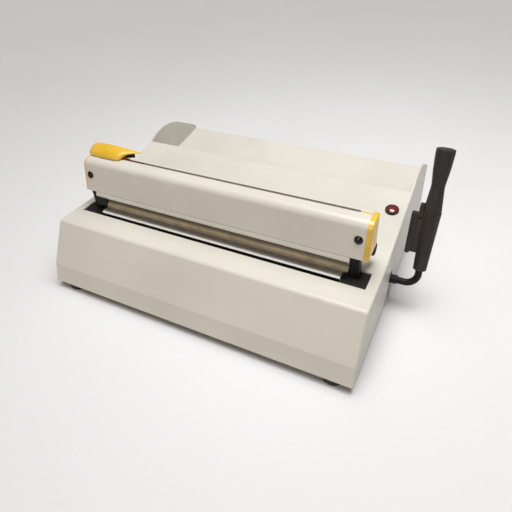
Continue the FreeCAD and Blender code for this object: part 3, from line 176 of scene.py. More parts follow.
# Black nylon: moulded with a spark-etched, matt skin.
black_nylon = finish(
    "black_moulded_nylon", ("#1b1818", "#231f1f"),
    patch_mm=14, grain_mm=0.9, relief_mm=0.05, gloss=(0.55, 0.72),
    constants={"IOR": 1.45, "Specular IOR Level": 0.3})
# Grey nylon strips along the slit: their grey is painted shade that widens the slit's dark line.
slit_shade_nylon = finish(
    "grey_nylon_slit_shade", ("#6b665c", "#7f796d"),
    patch_mm=20, grain_mm=0.9, relief_mm=0.02, gloss=(0.45, 0.6), stretch=(0.1, 1, 1),
    constants={"IOR": 1.45})
# Black PVC: the grip's soft, warm, matt skin, drawn a little coarser than real to show.
black_pvc = finish(
    "black_pvc_grip", ("#1f1b1a", "#332d2b"),
    patch_mm=7, grain_mm=1.2, relief_mm=0.08, gloss=(0.5, 0.68), stretch=(1, 0.3, 0.1),
    constants={"IOR": 1.5, "Specular IOR Level": 0.35})
# Red acrylic of the lamp's lens: clear and polished, lit only by the room.
red_acrylic = finish(
    "red_acrylic", ("#651a17", "#7c2622"),
    patch_mm=4, grain_mm=1.5, relief_mm=0.005, gloss=(0.05, 0.1),
    constants={"IOR": 1.49, "Coat Weight": 0.8, "Coat Roughness": 0.04})
# Dark red acetal of the cutter's shoe: machined, with a waxy gloss.
red_acetal = finish(
    "dark_red_acetal", ("#5e1c12", "#702519"),
    patch_mm=8, grain_mm=1.0, relief_mm=0.02, gloss=(0.35, 0.5), constants={"IOR": 1.48})
# Pale urea plastic of the terminals: pressed hard, so it is smooth and dense.
pale_urea = finish(
    "pale_urea_plastic", ("#d8d3c4", "#e4dfd1"),
    patch_mm=12, grain_mm=1.0, relief_mm=0.02, gloss=(0.35, 0.48), constants={"IOR": 1.5})
print("materials after the plastics:", len(bpy.data.materials))

# %% Metals and rubbers
# Blackened steel: oxide and oil, smooth, with a dull shine.
black_steel = finish(
    "blackened_steel", ("#161414", "#211f1f"),
    patch_mm=10, grain_mm=1.4, relief_mm=0.02, gloss=(0.45, 0.6),
    constants={"Metallic": 0.3, "Specular IOR Level": 0.25})
# Dark zinc plate on screws: thin, dark and shiny.
dark_zinc = finish(
    "dark_zinc_plate", ("#34302d", "#4e4944"),
    patch_mm=3, grain_mm=0.7, relief_mm=0.01, gloss=(0.14, 0.24), constants={"Metallic": 1.0})
# Cold-rolled steel inside the machine: streaked along the way it was rolled.
rolled_steel = finish(
    "cold_rolled_steel", ("#8f8f8d", "#a9a9a6"),
    patch_mm=25, grain_mm=1.2, relief_mm=0.02, gloss=(0.3, 0.45), stretch=(0.12, 1, 1),
    constants={"Metallic": 1.0})
# Bright aluminium: bead-blasted and set as hardly metallic. Its near-white colour is partly its own pale skin
# and partly painted reflection of the bright room. It has faint streaks along the bar.
bright_aluminium = finish(
    "bright_satin_aluminium", ("#f8f8f6", "#fefefd"),
    patch_mm=8, grain_mm=0.8, relief_mm=0.006, gloss=(0.24, 0.36), stretch=(0.03, 1, 1),
    constants={"Metallic": 0.1})
# Sintered bronze of the bushes: pressed from powder, so it is open-grained.
sintered_bronze = finish(
    "sintered_bronze", ("#8d6a35", "#a8823f"),
    patch_mm=4, grain_mm=0.6, relief_mm=0.03, gloss=(0.35, 0.5), constants={"Metallic": 1.0})
# Nickel-plated brass of the inlet's pins: a pale, slightly warm shine.
nickel_brass = finish(
    "nickel_plated_brass", ("#b9b3a4", "#cfc9ba"),
    patch_mm=3, grain_mm=0.6, relief_mm=0.01, gloss=(0.2, 0.3), constants={"Metallic": 1.0})
# Grey silicone: dull, slightly greasy rubber.
grey_silicone = finish(
    "grey_silicone_rubber", ("#b2afac", "#bfbcb9"),
    patch_mm=16, grain_mm=1.1, relief_mm=0.03, gloss=(0.5, 0.66), constants={"IOR": 1.43})
# Black rubber of the feet: moulded matt.
black_rubber = finish(
    "black_rubber", ("#191818", "#232121"),
    patch_mm=9, grain_mm=0.9, relief_mm=0.06, gloss=(0.62, 0.8), constants={"IOR": 1.5})
print("materials after the metals and rubbers:", len(bpy.data.materials))

# %% [markdown]
# ### Coated glass cloth
# The upper jaw wears a thin cloth of glass fibre, coated so that melted film lets go of it. The weave could
# be modelled thread by thread, but it is finer than a pixel, so two crossed sets of bands lift the
# surface and darken the gaps. The threads are drawn at 1.6 mm, about twice their real spacing, so that they
# show. Where the cloth turns up beside the jaw, under the carrier, its tan is darkened to dark brown as
# painted shade, so an attribute of the cloth's own mesh says how far up it has turned.

# %% Coated glass cloth
THREAD_SPACING = 1.6 * MM
THREAD_RELIEF = 0.06 * MM
STAIN_SIZE = 14 * MM
# A wave texture of scale 1 repeats its bands at this distance.
WAVE_REPEAT = 2 * math.pi / 20


def coated_glass_cloth():
    """Two sets of threads at right angles, along the jaw and round it."""
    material = bpy.data.materials.new("coated_glass_cloth")
    material.use_nodes = True
    tree = material.node_tree
    shader = tree.nodes["Principled BSDF"]
    shader.inputs["IOR"].default_value = 1.4
    shader.inputs["Sheen Weight"].default_value = 0.1
    place = node(tree, "ShaderNodeUVMap", uv_map="cloth").outputs["UV"]
    bands = {"Vector": place, "Scale": WAVE_REPEAT / THREAD_SPACING, "Distortion": 0.4, "Detail": 1.0}
    warp, weft = (
        node(tree, "ShaderNodeTexWave", bands, wave_type="BANDS", bands_direction=way).outputs["Fac"]
        for way in ("X", "Y"))
    weave = node(tree, "ShaderNodeMath", {0: warp, 1: weft}, operation="MAXIMUM").outputs["Value"]
    stain = node(tree, "ShaderNodeTexNoise", {
        "Vector": place, "Scale": 1 / STAIN_SIZE, "Detail": 3.0}).outputs["Fac"]
    shade = node(tree, "ShaderNodeMath", {0: weave, 1: stain}, operation="MULTIPLY").outputs["Value"]
    tan = node(tree, "ShaderNodeValToRGB", {"Fac": shade}, [
        (0.15, linear("#6d604b")), (0.6, linear("#9a8c72"))]).outputs["Color"]
    # Painted shade: the tan is darkened towards dark brown where the cloth turns up under the carrier.
    painted_shade_share = node(tree, "ShaderNodeAttribute", attribute_name="painted_neck_shade").outputs["Fac"]
    tan_with_painted_shade = node(tree, "ShaderNodeMixRGB", {
        "Fac": painted_shade_share, "Color1": tan, "Color2": linear("#2f261b")}).outputs["Color"]
    rough = node(tree, "ShaderNodeMapRange", {
        "Value": weave, "To Min": 0.5, "To Max": 0.34}).outputs["Result"]
    bump = node(tree, "ShaderNodeBump", {
        "Height": weave, "Distance": THREAD_RELIEF, "Strength": 0.8}).outputs["Normal"]
    for source, socket in ((tan_with_painted_shade, "Base Color"), (rough, "Roughness"), (bump, "Normal")):
        tree.links.new(source, shader.inputs[socket])
    return material


glass_cloth = coated_glass_cloth()
print("cloth's finish made:", glass_cloth.name)

# %% [markdown]
# ## Dressing the solids
# Each solid keeps its shape and only gets a finish. Finishes could be given one by one, but the record
# already says which slot each solid belongs to, so the finish goes by slot, and a piece made of something
# else than its neighbours is named on its own.

# %% Finishes by slot
BY_SLOT = {
    "cream_enamel": cream_enamel, "grey_enamel": grey_enamel, "yellow_plastic": amber_abs,
    "black_plastic": black_nylon, "black_steel": black_steel, "screw_steel": dark_zinc,
    "steel": rolled_steel, "bright_aluminium": bright_aluminium, "grey_silicone": grey_silicone,
    "tan_cloth": glass_cloth, "bronze": sintered_bronze, "black_rubber": black_rubber,
    "red_lens": red_acrylic, "red_plastic": red_acetal, "pale_plastic": pale_urea,
}
BY_NAME = {"lever_grip": black_pvc, "lever_socket": black_pvc}


def dress(piece, material):
    """Puts a finish on an object's own slot, so that its mesh stays as it is."""
    if not piece.material_slots:
        piece.data.materials.append(None)
    for place in piece.material_slots:
        place.link = "OBJECT"
        place.material = material


for part in frame["record"]["subparts"]:
    dress(nodes[part["node"]], BY_NAME.get(part["node"], BY_SLOT[part["material_slot"]]))

# %% [markdown]
# ## Making a mesh a piece
# A new piece could be made at the origin and moved to its place. Here everything is made in place, in metres,
# with its object at the origin, because the export puts it there.


# %% A new piece on a body
def finished_mesh(shape, name):
    """Turns a bmesh into a mesh and lets the bmesh go."""
    mesh = bpy.data.meshes.new(name)
    shape.to_mesh(mesh)
    shape.free()
    return mesh


def new_piece(name, mesh, body, material, stands_for=()):
    """Links a mesh as an object that rides on a body and may stand for solids."""
    piece = bpy.data.objects.new(name, mesh)
    bpy.context.scene.collection.objects.link(piece)
    dress(piece, material)
    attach(piece, body)
    if stands_for:
        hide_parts(*stands_for)
    return piece


# %% [markdown]
# ## Screws
# The screws have domed heads with a cross recess. One could be modelled and copied by hand, but a tree of
# nodes makes one head from named sizes and puts it on every seat, each turned a little differently, as a hand
# would leave it. Each seat is read from the solid's own head: where its outer face is, which way it faces and
# how wide it is.

# %% Where the screw heads are
SAME_POINT = 1e-6
FACES_OUT = 0.95
HEAD_RIM = 1.5 * MM


def loose_parts(mesh):
    """The separate solids of a mesh, each as a list of normals and corners of its faces."""
    shape = bmesh.new()
    shape.from_mesh(mesh)
    bmesh.ops.remove_doubles(shape, verts=shape.verts, dist=SAME_POINT)
    left = set(shape.faces)
    parts = []
    while left:
        grown = [left.pop()]
        for face in grown:
            for edge in face.edges:
                for other in edge.link_faces:
                    if other in left:
                        left.remove(other)
                        grown.append(other)
        parts.append([(face.normal.copy(), [v.co.copy() for v in face.verts]) for face in grown])
    shape.free()
    return parts


def head_seats(name, towards):
    """For each screw of a node: the middle of its outer face, the way that it faces and its radius."""
    seats = []
    for part in loose_parts(nodes[name].data):
        facing = [(normal, corners) for normal, corners in part if normal.dot(towards) > FACES_OUT]
        outermost = max(corner.dot(towards) for _, corners in facing for corner in corners)
        face = [(normal, corners) for normal, corners in facing
                if max(corner.dot(towards) for corner in corners) > outermost - HEAD_RIM]
        rim = [corner for _, corners in face for corner in corners]
        middle = Vector([(min(c[i] for c in rim) + max(c[i] for c in rim)) / 2 for i in range(3)])
        seats.append((middle, face[0][0].normalized(), max((corner - middle).length for corner in rim)))
    return seats


FORWARD = Vector((0, -1, 0))
DOWN = Vector((0, 0, -1))
BEAM_SEATS = head_seats("beam_screws", FORWARD)
BASE_SEATS = head_seats("base_screws", DOWN) + head_seats("foot_screws", DOWN)
print("screw seats:", len(BEAM_SEATS), "on the beam,", len(BASE_SEATS), "below; radius in mm:",
      [round(seat[2] / MM, 2) for seat in BEAM_SEATS])


# %% What every growing tree starts and ends with
def growing_tree(name, sizes):
    """A tree with inputs for seats, named sizes and a finish, and with its geometry output."""
    tree = bpy.data.node_groups.new(name, "GeometryNodeTree")
    tree.interface.new_socket("Geometry", in_out="INPUT", socket_type="NodeSocketGeometry")
    for size in sizes:
        tree.interface.new_socket(size, in_out="INPUT", socket_type="NodeSocketFloat")
    tree.interface.new_socket("Finish", in_out="INPUT", socket_type="NodeSocketMaterial")
    tree.interface.new_socket("Geometry", in_out="OUTPUT", socket_type="NodeSocketGeometry")
    return tree


def end_tree(tree, instances, material):
    """Makes the instances real, dresses them and gives them out."""
    real = node(tree, "GeometryNodeRealizeInstances", {"Geometry": instances}).outputs[0]
    dressed = node(tree, "GeometryNodeSetMaterial", {"Geometry": real, "Material": material}).outputs[0]
    node(tree, "NodeGroupOutput", {"Geometry": dressed})


def grown_mesh(name, seed_mesh, tree, values):
    """Runs a tree on a mesh once and gives the result as a plain mesh."""
    grower = bpy.data.objects.new(name + "_grower", seed_mesh)
    bpy.context.scene.collection.objects.link(grower)
    modifier = grower.modifiers.new("grow", "NODES")
    modifier.node_group = tree
    for item in tree.interface.items_tree:
        if item.in_out == "INPUT" and item.name in values:
            modifier[item.identifier] = values[item.name]
    bpy.context.view_layer.update()
    mesh = bpy.data.meshes.new_from_object(grower.evaluated_get(bpy.context.evaluated_depsgraph_get()))
    grower.modifiers.remove(modifier)
    bpy.data.objects.remove(grower)
    mesh.materials.clear()
    return mesh


print("trees before the screws:", len(bpy.data.node_groups))

# %% The tree that makes and places screw heads
RECESS_SPAN = 1.15        # length of the cross, as a share of the head's radius
BELOW_WIDTH = 100 * MM    # wider than any head, to cut away the lower half of the ball
SLIVER_WIDTH = 0.01 * MM  # points closer than this are merged after the cuts
MOST_TURN = 1.5           # radians
SCREW_SEED = 7


def cross_head(tree, given):
    """A ball flattened to the head's sizes, less its lower half and the two arms of a cross."""
    radius, height, width = given["Head Radius"], given["Head Height"], given["Recess Width"]
    twice = node(tree, "ShaderNodeMath", {0: height, 1: 2.0}, operation="MULTIPLY").outputs[0]
    span = node(tree, "ShaderNodeMath", {0: radius, 1: RECESS_SPAN}, operation="MULTIPLY").outputs[0]
    lift = node(tree, "ShaderNodeMath", {0: twice, 1: given["Recess Depth"]}, operation="SUBTRACT").outputs[0]
    drop = node(tree, "ShaderNodeMath", {0: height, 1: -1.0}, operation="MULTIPLY").outputs[0]
    ball = node(tree, "GeometryNodeMeshUVSphere", {
        "Segments": 40, "Rings": 24, "Radius": 1.0}).outputs["Mesh"]
    dome_size = node(tree, "ShaderNodeCombineXYZ", {"X": radius, "Y": radius, "Z": height}).outputs[0]
    dome = node(tree, "GeometryNodeTransform", {"Geometry": ball, "Scale": dome_size}).outputs[0]
    head = node(tree, "GeometryNodeMeshBoolean", {"Mesh 1": dome}, operation="DIFFERENCE", solver="EXACT")
    for x, y, z in ((span, width, lift), (width, span, lift), (BELOW_WIDTH, BELOW_WIDTH, drop)):
        size = node(tree, "ShaderNodeCombineXYZ", {"X": x, "Y": y, "Z": twice}).outputs[0]
        place = node(tree, "ShaderNodeCombineXYZ", {"Z": z}).outputs[0]
        block = node(tree, "GeometryNodeMeshCube", {"Size": size}).outputs["Mesh"]
        moved = node(tree, "GeometryNodeTransform", {"Geometry": block, "Translation": place}).outputs[0]
        tree.links.new(moved, head.inputs["Mesh 2"])
    return node(tree, "GeometryNodeMergeByDistance", {
        "Geometry": head.outputs["Mesh"], "Distance": SLIVER_WIDTH}).outputs[0]


def screw_tree():
    """Seats in, screws out: one head, set on each seat with its own turn."""
    tree = growing_tree("cross_head_screws", ("Head Radius", "Head Height", "Recess Width", "Recess Depth"))
    tree.interface.new_socket("Seed", in_out="INPUT", socket_type="NodeSocketInt").default_value = SCREW_SEED
    given = node(tree, "NodeGroupInput").outputs
    points = node(tree, "GeometryNodeMeshToPoints", {"Mesh": given["Geometry"]}).outputs[0]
    facing = node(tree, "GeometryNodeInputNamedAttribute", {
        "Name": "facing"}, data_type="FLOAT_VECTOR").outputs[0]
    aim = node(tree, "FunctionNodeAlignRotationToVector", {"Vector": facing}, axis="Z").outputs[0]
    size = node(tree, "GeometryNodeInputNamedAttribute", {"Name": "size"}, data_type="FLOAT").outputs[0]
    share = node(tree, "ShaderNodeMath", {0: size, 1: given["Head Radius"]}, operation="DIVIDE").outputs[0]
    placed = node(tree, "GeometryNodeInstanceOnPoints", {
        "Points": points, "Instance": cross_head(tree, given), "Rotation": aim, "Scale": share}).outputs[0]
    turn = node(tree, "FunctionNodeRandomValue", {
        2: 0.0, 3: MOST_TURN, "Seed": given["Seed"]}, data_type="FLOAT").outputs[1]
    turn_axes = node(tree, "ShaderNodeCombineXYZ", {"Z": turn}).outputs[0]
    turned = node(tree, "GeometryNodeRotateInstances", {
        "Instances": placed, "Rotation": turn_axes}).outputs[0]
    end_tree(tree, turned, given["Finish"])
    return tree


SCREW_TREE = screw_tree()
print("screw tree nodes:", len(SCREW_TREE.nodes))

# %% Screws on the beam and under the base
HEAD_HEIGHT = 2.2 * MM
RECESS_WIDTH = 0.24     # as a share of the head's radius
RECESS_DEPTH = 0.55     # as a share of the head's height


def screws(name, seats, body, stands_for):
    """Screw heads on seats, whose tops reach the solid heads' outer faces."""
    spots = bpy.data.meshes.new(name + "_seats")
    spots.from_pydata([middle - facing * HEAD_HEIGHT for middle, facing, _ in seats], [], [])
    spots.attributes.new("facing", "FLOAT_VECTOR", "POINT").data.foreach_set(
        "vector", [x for _, facing, _ in seats for x in facing])
    spots.attributes.new("size", "FLOAT", "POINT").data.foreach_set(
        "value", [radius for _, _, radius in seats])
    radius = seats[0][2]
    mesh = grown_mesh(name, spots, SCREW_TREE, {
        "Head Radius": radius, "Head Height": HEAD_HEIGHT, "Recess Width": RECESS_WIDTH * radius,
        "Recess Depth": RECESS_DEPTH * HEAD_HEIGHT, "Finish": dark_zinc})
    return new_piece(name, mesh, body, dark_zinc, stands_for)


beam_screw_heads = screws("beam_screw_heads", BEAM_SEATS, "beam", ["beam_screws"])
base_screw_heads = screws("base_screw_heads", BASE_SEATS, "base", ["base_screws", "foot_screws"])
print("screw faces:", len(beam_screw_heads.data.polygons), len(base_screw_heads.data.polygons))

# %% [markdown]
# ## Return springs
# Under each post sits a coil of flat wire that lifts the beam again. It is hidden in the base, but it has to
# shorten as the beam comes down, which a solid can't do. A spiral with a flat section follows its rule
# exactly, so a tree of nodes winds one coil from named sizes and sets it on both seats.


# %% The tree that winds the coils
def coil_tree():
    """Seats in, coils out: a spiral that carries a flat section, set on each seat."""
    tree = growing_tree("flat_wire_coils", ("Mean Radius", "Climb", "Turns", "Strip Width", "Wire Height"))
    given = node(tree, "NodeGroupInput").outputs
    spiral = node(tree, "GeometryNodeCurveSpiral", {
        "Resolution": 40, "Rotations": given["Turns"], "Start Radius": given["Mean Radius"],
        "End Radius": given["Mean Radius"], "Height": given["Climb"]}).outputs[0]
    upright = node(tree, "GeometryNodeSetCurveNormal", {"Curve": spiral}, mode="Z_UP").outputs[0]
    section = node(tree, "GeometryNodeCurvePrimitiveQuadrilateral", {
        "Width": given["Strip Width"], "Height": given["Wire Height"]}, mode="RECTANGLE").outputs[0]
    wound = node(tree, "GeometryNodeCurveToMesh", {
        "Curve": upright, "Profile Curve": section, "Fill Caps": True}).outputs[0]
    points = node(tree, "GeometryNodeMeshToPoints", {"Mesh": given["Geometry"]}).outputs[0]
    placed = node(tree, "GeometryNodeInstanceOnPoints", {"Points": points, "Instance": wound}).outputs[0]
    end_tree(tree, placed, given["Finish"])
    return tree


COIL_TREE = coil_tree()
print("coil tree nodes:", len(COIL_TREE.nodes))

# %% Coils under both posts
STRIP_WIDTH = 1.4 * MM
WIRE_HEIGHT = 1.0 * MM
COIL_TURNS = 4.0
spring_boxes = [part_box("return_spring_left"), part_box("return_spring_right")]
coil_seats = bpy.data.meshes.new("coil_seats")
coil_seats.from_pydata([((low.x + high.x) / 2, (low.y + high.y) / 2, low.z + WIRE_HEIGHT / 2)
                        for low, high in spring_boxes], [], [])
spring_low, spring_high = spring_boxes[0]
coil_height = spring_high.z - spring_low.z
coil_mesh = grown_mesh("return_coils", coil_seats, COIL_TREE, {
    "Mean Radius": (spring_high.x - spring_low.x - STRIP_WIDTH) / 2, "Climb": coil_height - WIRE_HEIGHT,
    "Turns": COIL_TURNS, "Strip Width": STRIP_WIDTH, "Wire Height": WIRE_HEIGHT, "Finish": rolled_steel})
return_coils = new_piece("return_coils", coil_mesh, "base", rolled_steel,
                         ["return_spring_left", "return_spring_right"])
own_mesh(return_coils)
print("coil, mm: height", round(coil_height / MM, 2), "faces", len(return_coils.data.polygons))

# %% [markdown]
# ## Release cloth
# The tan sleeve round the upper jaw is a strip of coated cloth, pulled tight from the carrier, round the
# jaw's nose and up again. A cloth simulation would only find the same tight shape, so the strip is laid as a
# grid along the jaw's outline, with shallow ripples where the tension varies, and gets its thickness from
# Solidify.

# %% Section of the cloth round the nose
CLOTH_THICKNESS = 0.4 * MM
RIM_DEPTH = 0.01 * MM
NOSE_STEPS = 28
# Past these turns round the nose, the cloth's tan is darkened as painted shade: the shade under the carrier.
PAINTED_SHADE_START = math.radians(135)
PAINTED_SHADE_END = math.radians(165)
cover_low, cover_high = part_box("release_cover")
nose_radius = (cover_high.y - cover_low.y) / 2 - CLOTH_THICKNESS / 2
nose_middle = Vector((0, (cover_low.y + cover_high.y) / 2, cover_low.z + nose_radius + CLOTH_THICKNESS / 2))
neck_rim = [v.co.y - nose_middle.y for v in nodes["release_cover"].data.vertices
            if v.co.z > cover_high.z - RIM_DEPTH]
neck_half = max(neck_rim) - CLOTH_THICKNESS / 2
neck_height = cover_high.z - nose_middle.z
neck_turn = math.pi - math.asin(neck_half / nose_radius)
nose_turns = [neck_turn * (2 * k / NOSE_STEPS - 1) for k in range(NOSE_STEPS + 1)]
nose = [(nose_radius * math.sin(turn), -nose_radius * math.cos(turn)) for turn in nose_turns]
cloth_section = [(-neck_half, neck_height)] + nose + [(neck_half, neck_height)]
nose_painted_shade = [min(max((abs(turn) - PAINTED_SHADE_START) / (PAINTED_SHADE_END - PAINTED_SHADE_START), 0), 1) for turn in nose_turns]
painted_shade_row = [1.0] + nose_painted_shade + [1.0]
runs = [0.0]
for (y0, z0), (y1, z1) in zip(cloth_section, cloth_section[1:]):
    runs.append(runs[-1] + math.hypot(y1 - y0, z1 - z0))
print("nose, mm: radius", round(nose_radius / MM, 2), "cloth round it", round(runs[-1] / MM, 1))

# %% Cloth stretched along the jaw
LENGTH_STEPS = 128
RIPPLE_DEPTH = 0.012         # as a share of the nose's radius
RIPPLE_RATES = (190, 67)     # radians per metre
cloth_length = cover_high.x - cover_low.x
cloth = bmesh.new()
cloth_uv = cloth.loops.layers.uv.new("cloth")
grid = []
for i in range(LENGTH_STEPS + 1):
    x = cover_low.x + cloth_length * i / LENGTH_STEPS
    wave = math.sin(x * RIPPLE_RATES[0]) * math.sin(x * RIPPLE_RATES[1] + 1)
    ripple = 1 - RIPPLE_DEPTH * (1 + wave) / 2
    row = [(y * ripple, z * ripple if z < nose_radius else z) for y, z in cloth_section]
    grid.append([cloth.verts.new((x, nose_middle.y + y, nose_middle.z + z)) for y, z in row])
for i in range(LENGTH_STEPS):
    for j in range(len(cloth_section) - 1):
        corners = ((i, j), (i, j + 1), (i + 1, j + 1), (i + 1, j))
        face = cloth.faces.new([grid[a][b] for a, b in corners])
        face.smooth = True
        for loop, (a, b) in zip(face.loops, corners):
            loop[cloth_uv].uv = (cloth_length * a / LENGTH_STEPS, runs[b])
cloth_mesh = finished_mesh(cloth, "release_cloth")
# Each point keeps its share of the painted shade.
cloth_mesh.attributes.new("painted_neck_shade", "FLOAT", "POINT").data.foreach_set("value", painted_shade_row * (LENGTH_STEPS + 1))
release_cloth = new_piece("release_cloth", cloth_mesh, "beam", glass_cloth, ["release_cover"])
thickness = release_cloth.modifiers.new("thickness", "SOLIDIFY")
thickness.thickness = CLOTH_THICKNESS
thickness.offset = 0
print("cloth, mm:", round(cloth_length / MM, 1), "by", round(runs[-1] / MM, 1))

# %% [markdown]
# ## Rings, skins and stations
# Several pieces are round or swept: the lens, the knob, the grip, the strips and the stop. Each could be a
# curve with a bevel, but a skin over a row of rings lets every ring have its own shape. Where a piece changes
# along its length, a few stations are listed. For the knob and the grip a smooth curve is drawn
# through them.


# %% Helpers for rings and skins
def circle(middle, across, along, radius, count):
    """Points round a circle that lies in the plane of two directions."""
    turns = [2 * math.pi * k / count for k in range(count)]
    return [middle + radius * (across * math.cos(turn) + along * math.sin(turn)) for turn in turns]


def join_rings(shape, rings):
    """Adds rings with as many points each, smooth faces from ring to ring, and a face over the first."""
    rows = [[shape.verts.new(point) for point in ring] for ring in rings]
    for lower, upper in zip(rows, rows[1:]):
        for k in range(len(lower)):
            after = (k + 1) % len(lower)
            shape.faces.new((lower[k], lower[after], upper[after], upper[k])).smooth = True
    shape.faces.new(list(reversed(rows[0])))
    return rows


def closed_skin(rings, crease_degrees):
    """A mesh over a row of rings, closed by a face at both ends and sharp where it bends past the crease."""
    shape = bmesh.new()
    shape.faces.new(join_rings(shape, rings)[-1])
    bmesh.ops.recalc_face_normals(shape, faces=shape.faces)
    mesh = finished_mesh(shape, "skin")
    mesh.set_sharp_from_angle(angle=math.radians(crease_degrees))
    return mesh


def through(stations, share):
    """The point of a smooth curve through a list of equal-length stations, at a share of its length."""
    last = len(stations) - 1
    step = min(int(share * last), last - 1)
    f = share * last - step
    before, here, there, after = (stations[min(max(step + k, 0), last)] for k in (-1, 0, 1, 2))
    return [h + 0.5 * f * (t - b + f * (2 * b - 5 * h + 4 * t - a + f * (3 * (h - t) + a - b)))
            for b, h, t, a in zip(before, here, there, after)]


print("halfway through three stations:", through([(0, 0), (1, 2), (2, 0)], 0.5))

# %% [markdown]
# ## Pilot lamp's lens
# The lens is a shallow polished dome, and a dome made of flat facets would break up its one bright
# reflection. It is turned as rings round the lens's own axis, which is read from the solid's largest flat
# face.

# %% Lens as a smooth dome
LENS_SEGMENTS = 48
LENS_RINGS = 12
LENS_DOME = 2.4 * MM
LEAST_RISE = 0.8
lens_solid = nodes["lamp_lens"].data
lens_tops = [face for face in lens_solid.polygons if face.normal.z > LEAST_RISE]
lens_axis = max(lens_tops, key=lambda face: face.area).normal.copy()
lens_low, lens_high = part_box("lamp_lens")
lens_middle = (lens_low + lens_high) / 2
lens_points = [v.co - lens_middle for v in lens_solid.vertices]
lens_top = max(point.dot(lens_axis) for point in lens_points)
lens_bottom = min(point.dot(lens_axis) for point in lens_points)
upper_points = [point for point in lens_points if point.dot(lens_axis) > lens_top - LENS_DOME]
lens_radius = max((point - lens_axis * point.dot(lens_axis)).length for point in upper_points)
dome_turns = [math.pi / 2 * k / LENS_RINGS for k in range(LENS_RINGS)]
lens_outline = [(lens_radius, lens_bottom)]
lens_outline += [(lens_radius * math.cos(turn), lens_top - LENS_DOME * (1 - math.sin(turn)))
                 for turn in dome_turns]
SIDEWAYS = Vector((1, 0, 0))
lens_along = lens_axis.cross(SIDEWAYS)
lens_rings = [circle(lens_middle + lens_axis * height, SIDEWAYS, lens_along, reach, LENS_SEGMENTS)
              for reach, height in lens_outline]
lens = bmesh.new()
lens_rows = join_rings(lens, lens_rings)
tip = lens.verts.new(lens_middle + lens_axis * lens_top)
for k in range(LENS_SEGMENTS):
    lens.faces.new((lens_rows[-1][k], lens_rows[-1][(k + 1) % LENS_SEGMENTS], tip)).smooth = True
new_piece("lens_dome", finished_mesh(lens, "lens_dome"), "base", red_acrylic, ["lamp_lens"])
print("lens, mm: radius", round(lens_radius / MM, 2), "height", round((lens_top - lens_bottom) / MM, 2))

# %% [markdown]
# ## Cutter knob
# The knob is a polished moulding: high along its straight back edge, falling in one round sweep to its front,
# with a thin beak that points along the slit. Solids made of a few cuts show creases there, so the knob is
# swept again from a few stations along its length. At each step a quarter of an ellipse runs from the back
# edge down to the front edge.

# %% Knob swept from stations
# Each station, in mm from the middle of the slit and the underside of the knob: place along the beam, back
# edge, height of the back edge, front edge, height of the underside.
KNOB_STATIONS = [
    (-34.6, 8.2, 8.0, -1.5, 0.2),
    (-31, 9.3, 9.8, -6.6, 0),
    (-18, 9.5, 10.6, -8.6, 0),
    (-2, 9.7, 10.4, -9.0, 0),
    (9, 10.1, 9.7, -8.4, 0),
    (15, 10.4, 9.1, -6.6, 0),
    (18.5, 10.7, 8.7, -0.5, 2.8),
    (23, 11.2, 8, 4, 4.6),
    (34.6, 12.8, 6, 11.4, 5),
]
KNOB_STEPS = 72
SWEEP_STEPS = 14
FRONT_WALL = 0.8 * MM
KNOB_EDGE = 0.6 * MM
plate_low, plate_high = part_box("cutter_plate")
knob_low, knob_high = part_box("cutter_knob")
knob_middle = Vector(((knob_low.x + knob_high.x) / 2, (plate_low.y + plate_high.y) / 2, knob_low.z))
sweep_turns = [math.pi / 2 * j / SWEEP_STEPS for j in range(SWEEP_STEPS + 1)]
knob_rings = []
for k in range(KNOB_STEPS + 1):
    x, back, top, front, under = (size * MM for size in through(KNOB_STATIONS, k / KNOB_STEPS))
    foot = under + FRONT_WALL
    ring = [(x, back + (front - back) * math.sin(turn), foot + (top - foot) * math.cos(turn))
            for turn in sweep_turns]
    ring += [(x, front + KNOB_EDGE, under), (x, back - KNOB_EDGE, under), (x, back, under + KNOB_EDGE)]
    knob_rings.append([knob_middle + Vector(point) for point in ring])
knob_mesh = closed_skin(knob_rings, crease_degrees=40)
new_piece("polished_knob", knob_mesh, "cutter", amber_abs, ["cutter_knob"])
solid_length = knob_high.x - knob_low.x
print("knob faces:", len(knob_mesh.polygons), "solid's length, mm:", round(solid_length / MM, 1))

# %% [markdown]
# ## Shoe and blade clamp
# Under the knob's beak the red shoe that runs in the slit shows its crown, and beside it a black clamp holds
# the blade. Both are small blocks with slanted faces. Boxes could be cut at a slant, but a skin over a few
# stations gives the slants directly.

# %% Shoe and blade clamp under the beak
# Stations along the beam, in mm: place, height of the crown.
SHOE_STATIONS = [(10, 2.4), (20, 2.4), (26, 2), (29, 0.4)]
SHOE_HALF = 0.95 * MM
SHOULDER_HEIGHT = 0.6     # as a share of the crown's height
CROWN_HALF = 0.5          # as a share of the shoe's half width
shoe_rings = []
for x, crown_height in SHOE_STATIONS:
    side = [(SHOE_HALF, 0), (SHOE_HALF, SHOULDER_HEIGHT * crown_height * MM),
            (CROWN_HALF * SHOE_HALF, crown_height * MM)]
    outline = side + [(-y, z) for y, z in reversed(side)]
    shoe_rings.append([knob_middle + Vector((x * MM, y, z)) for y, z in outline])
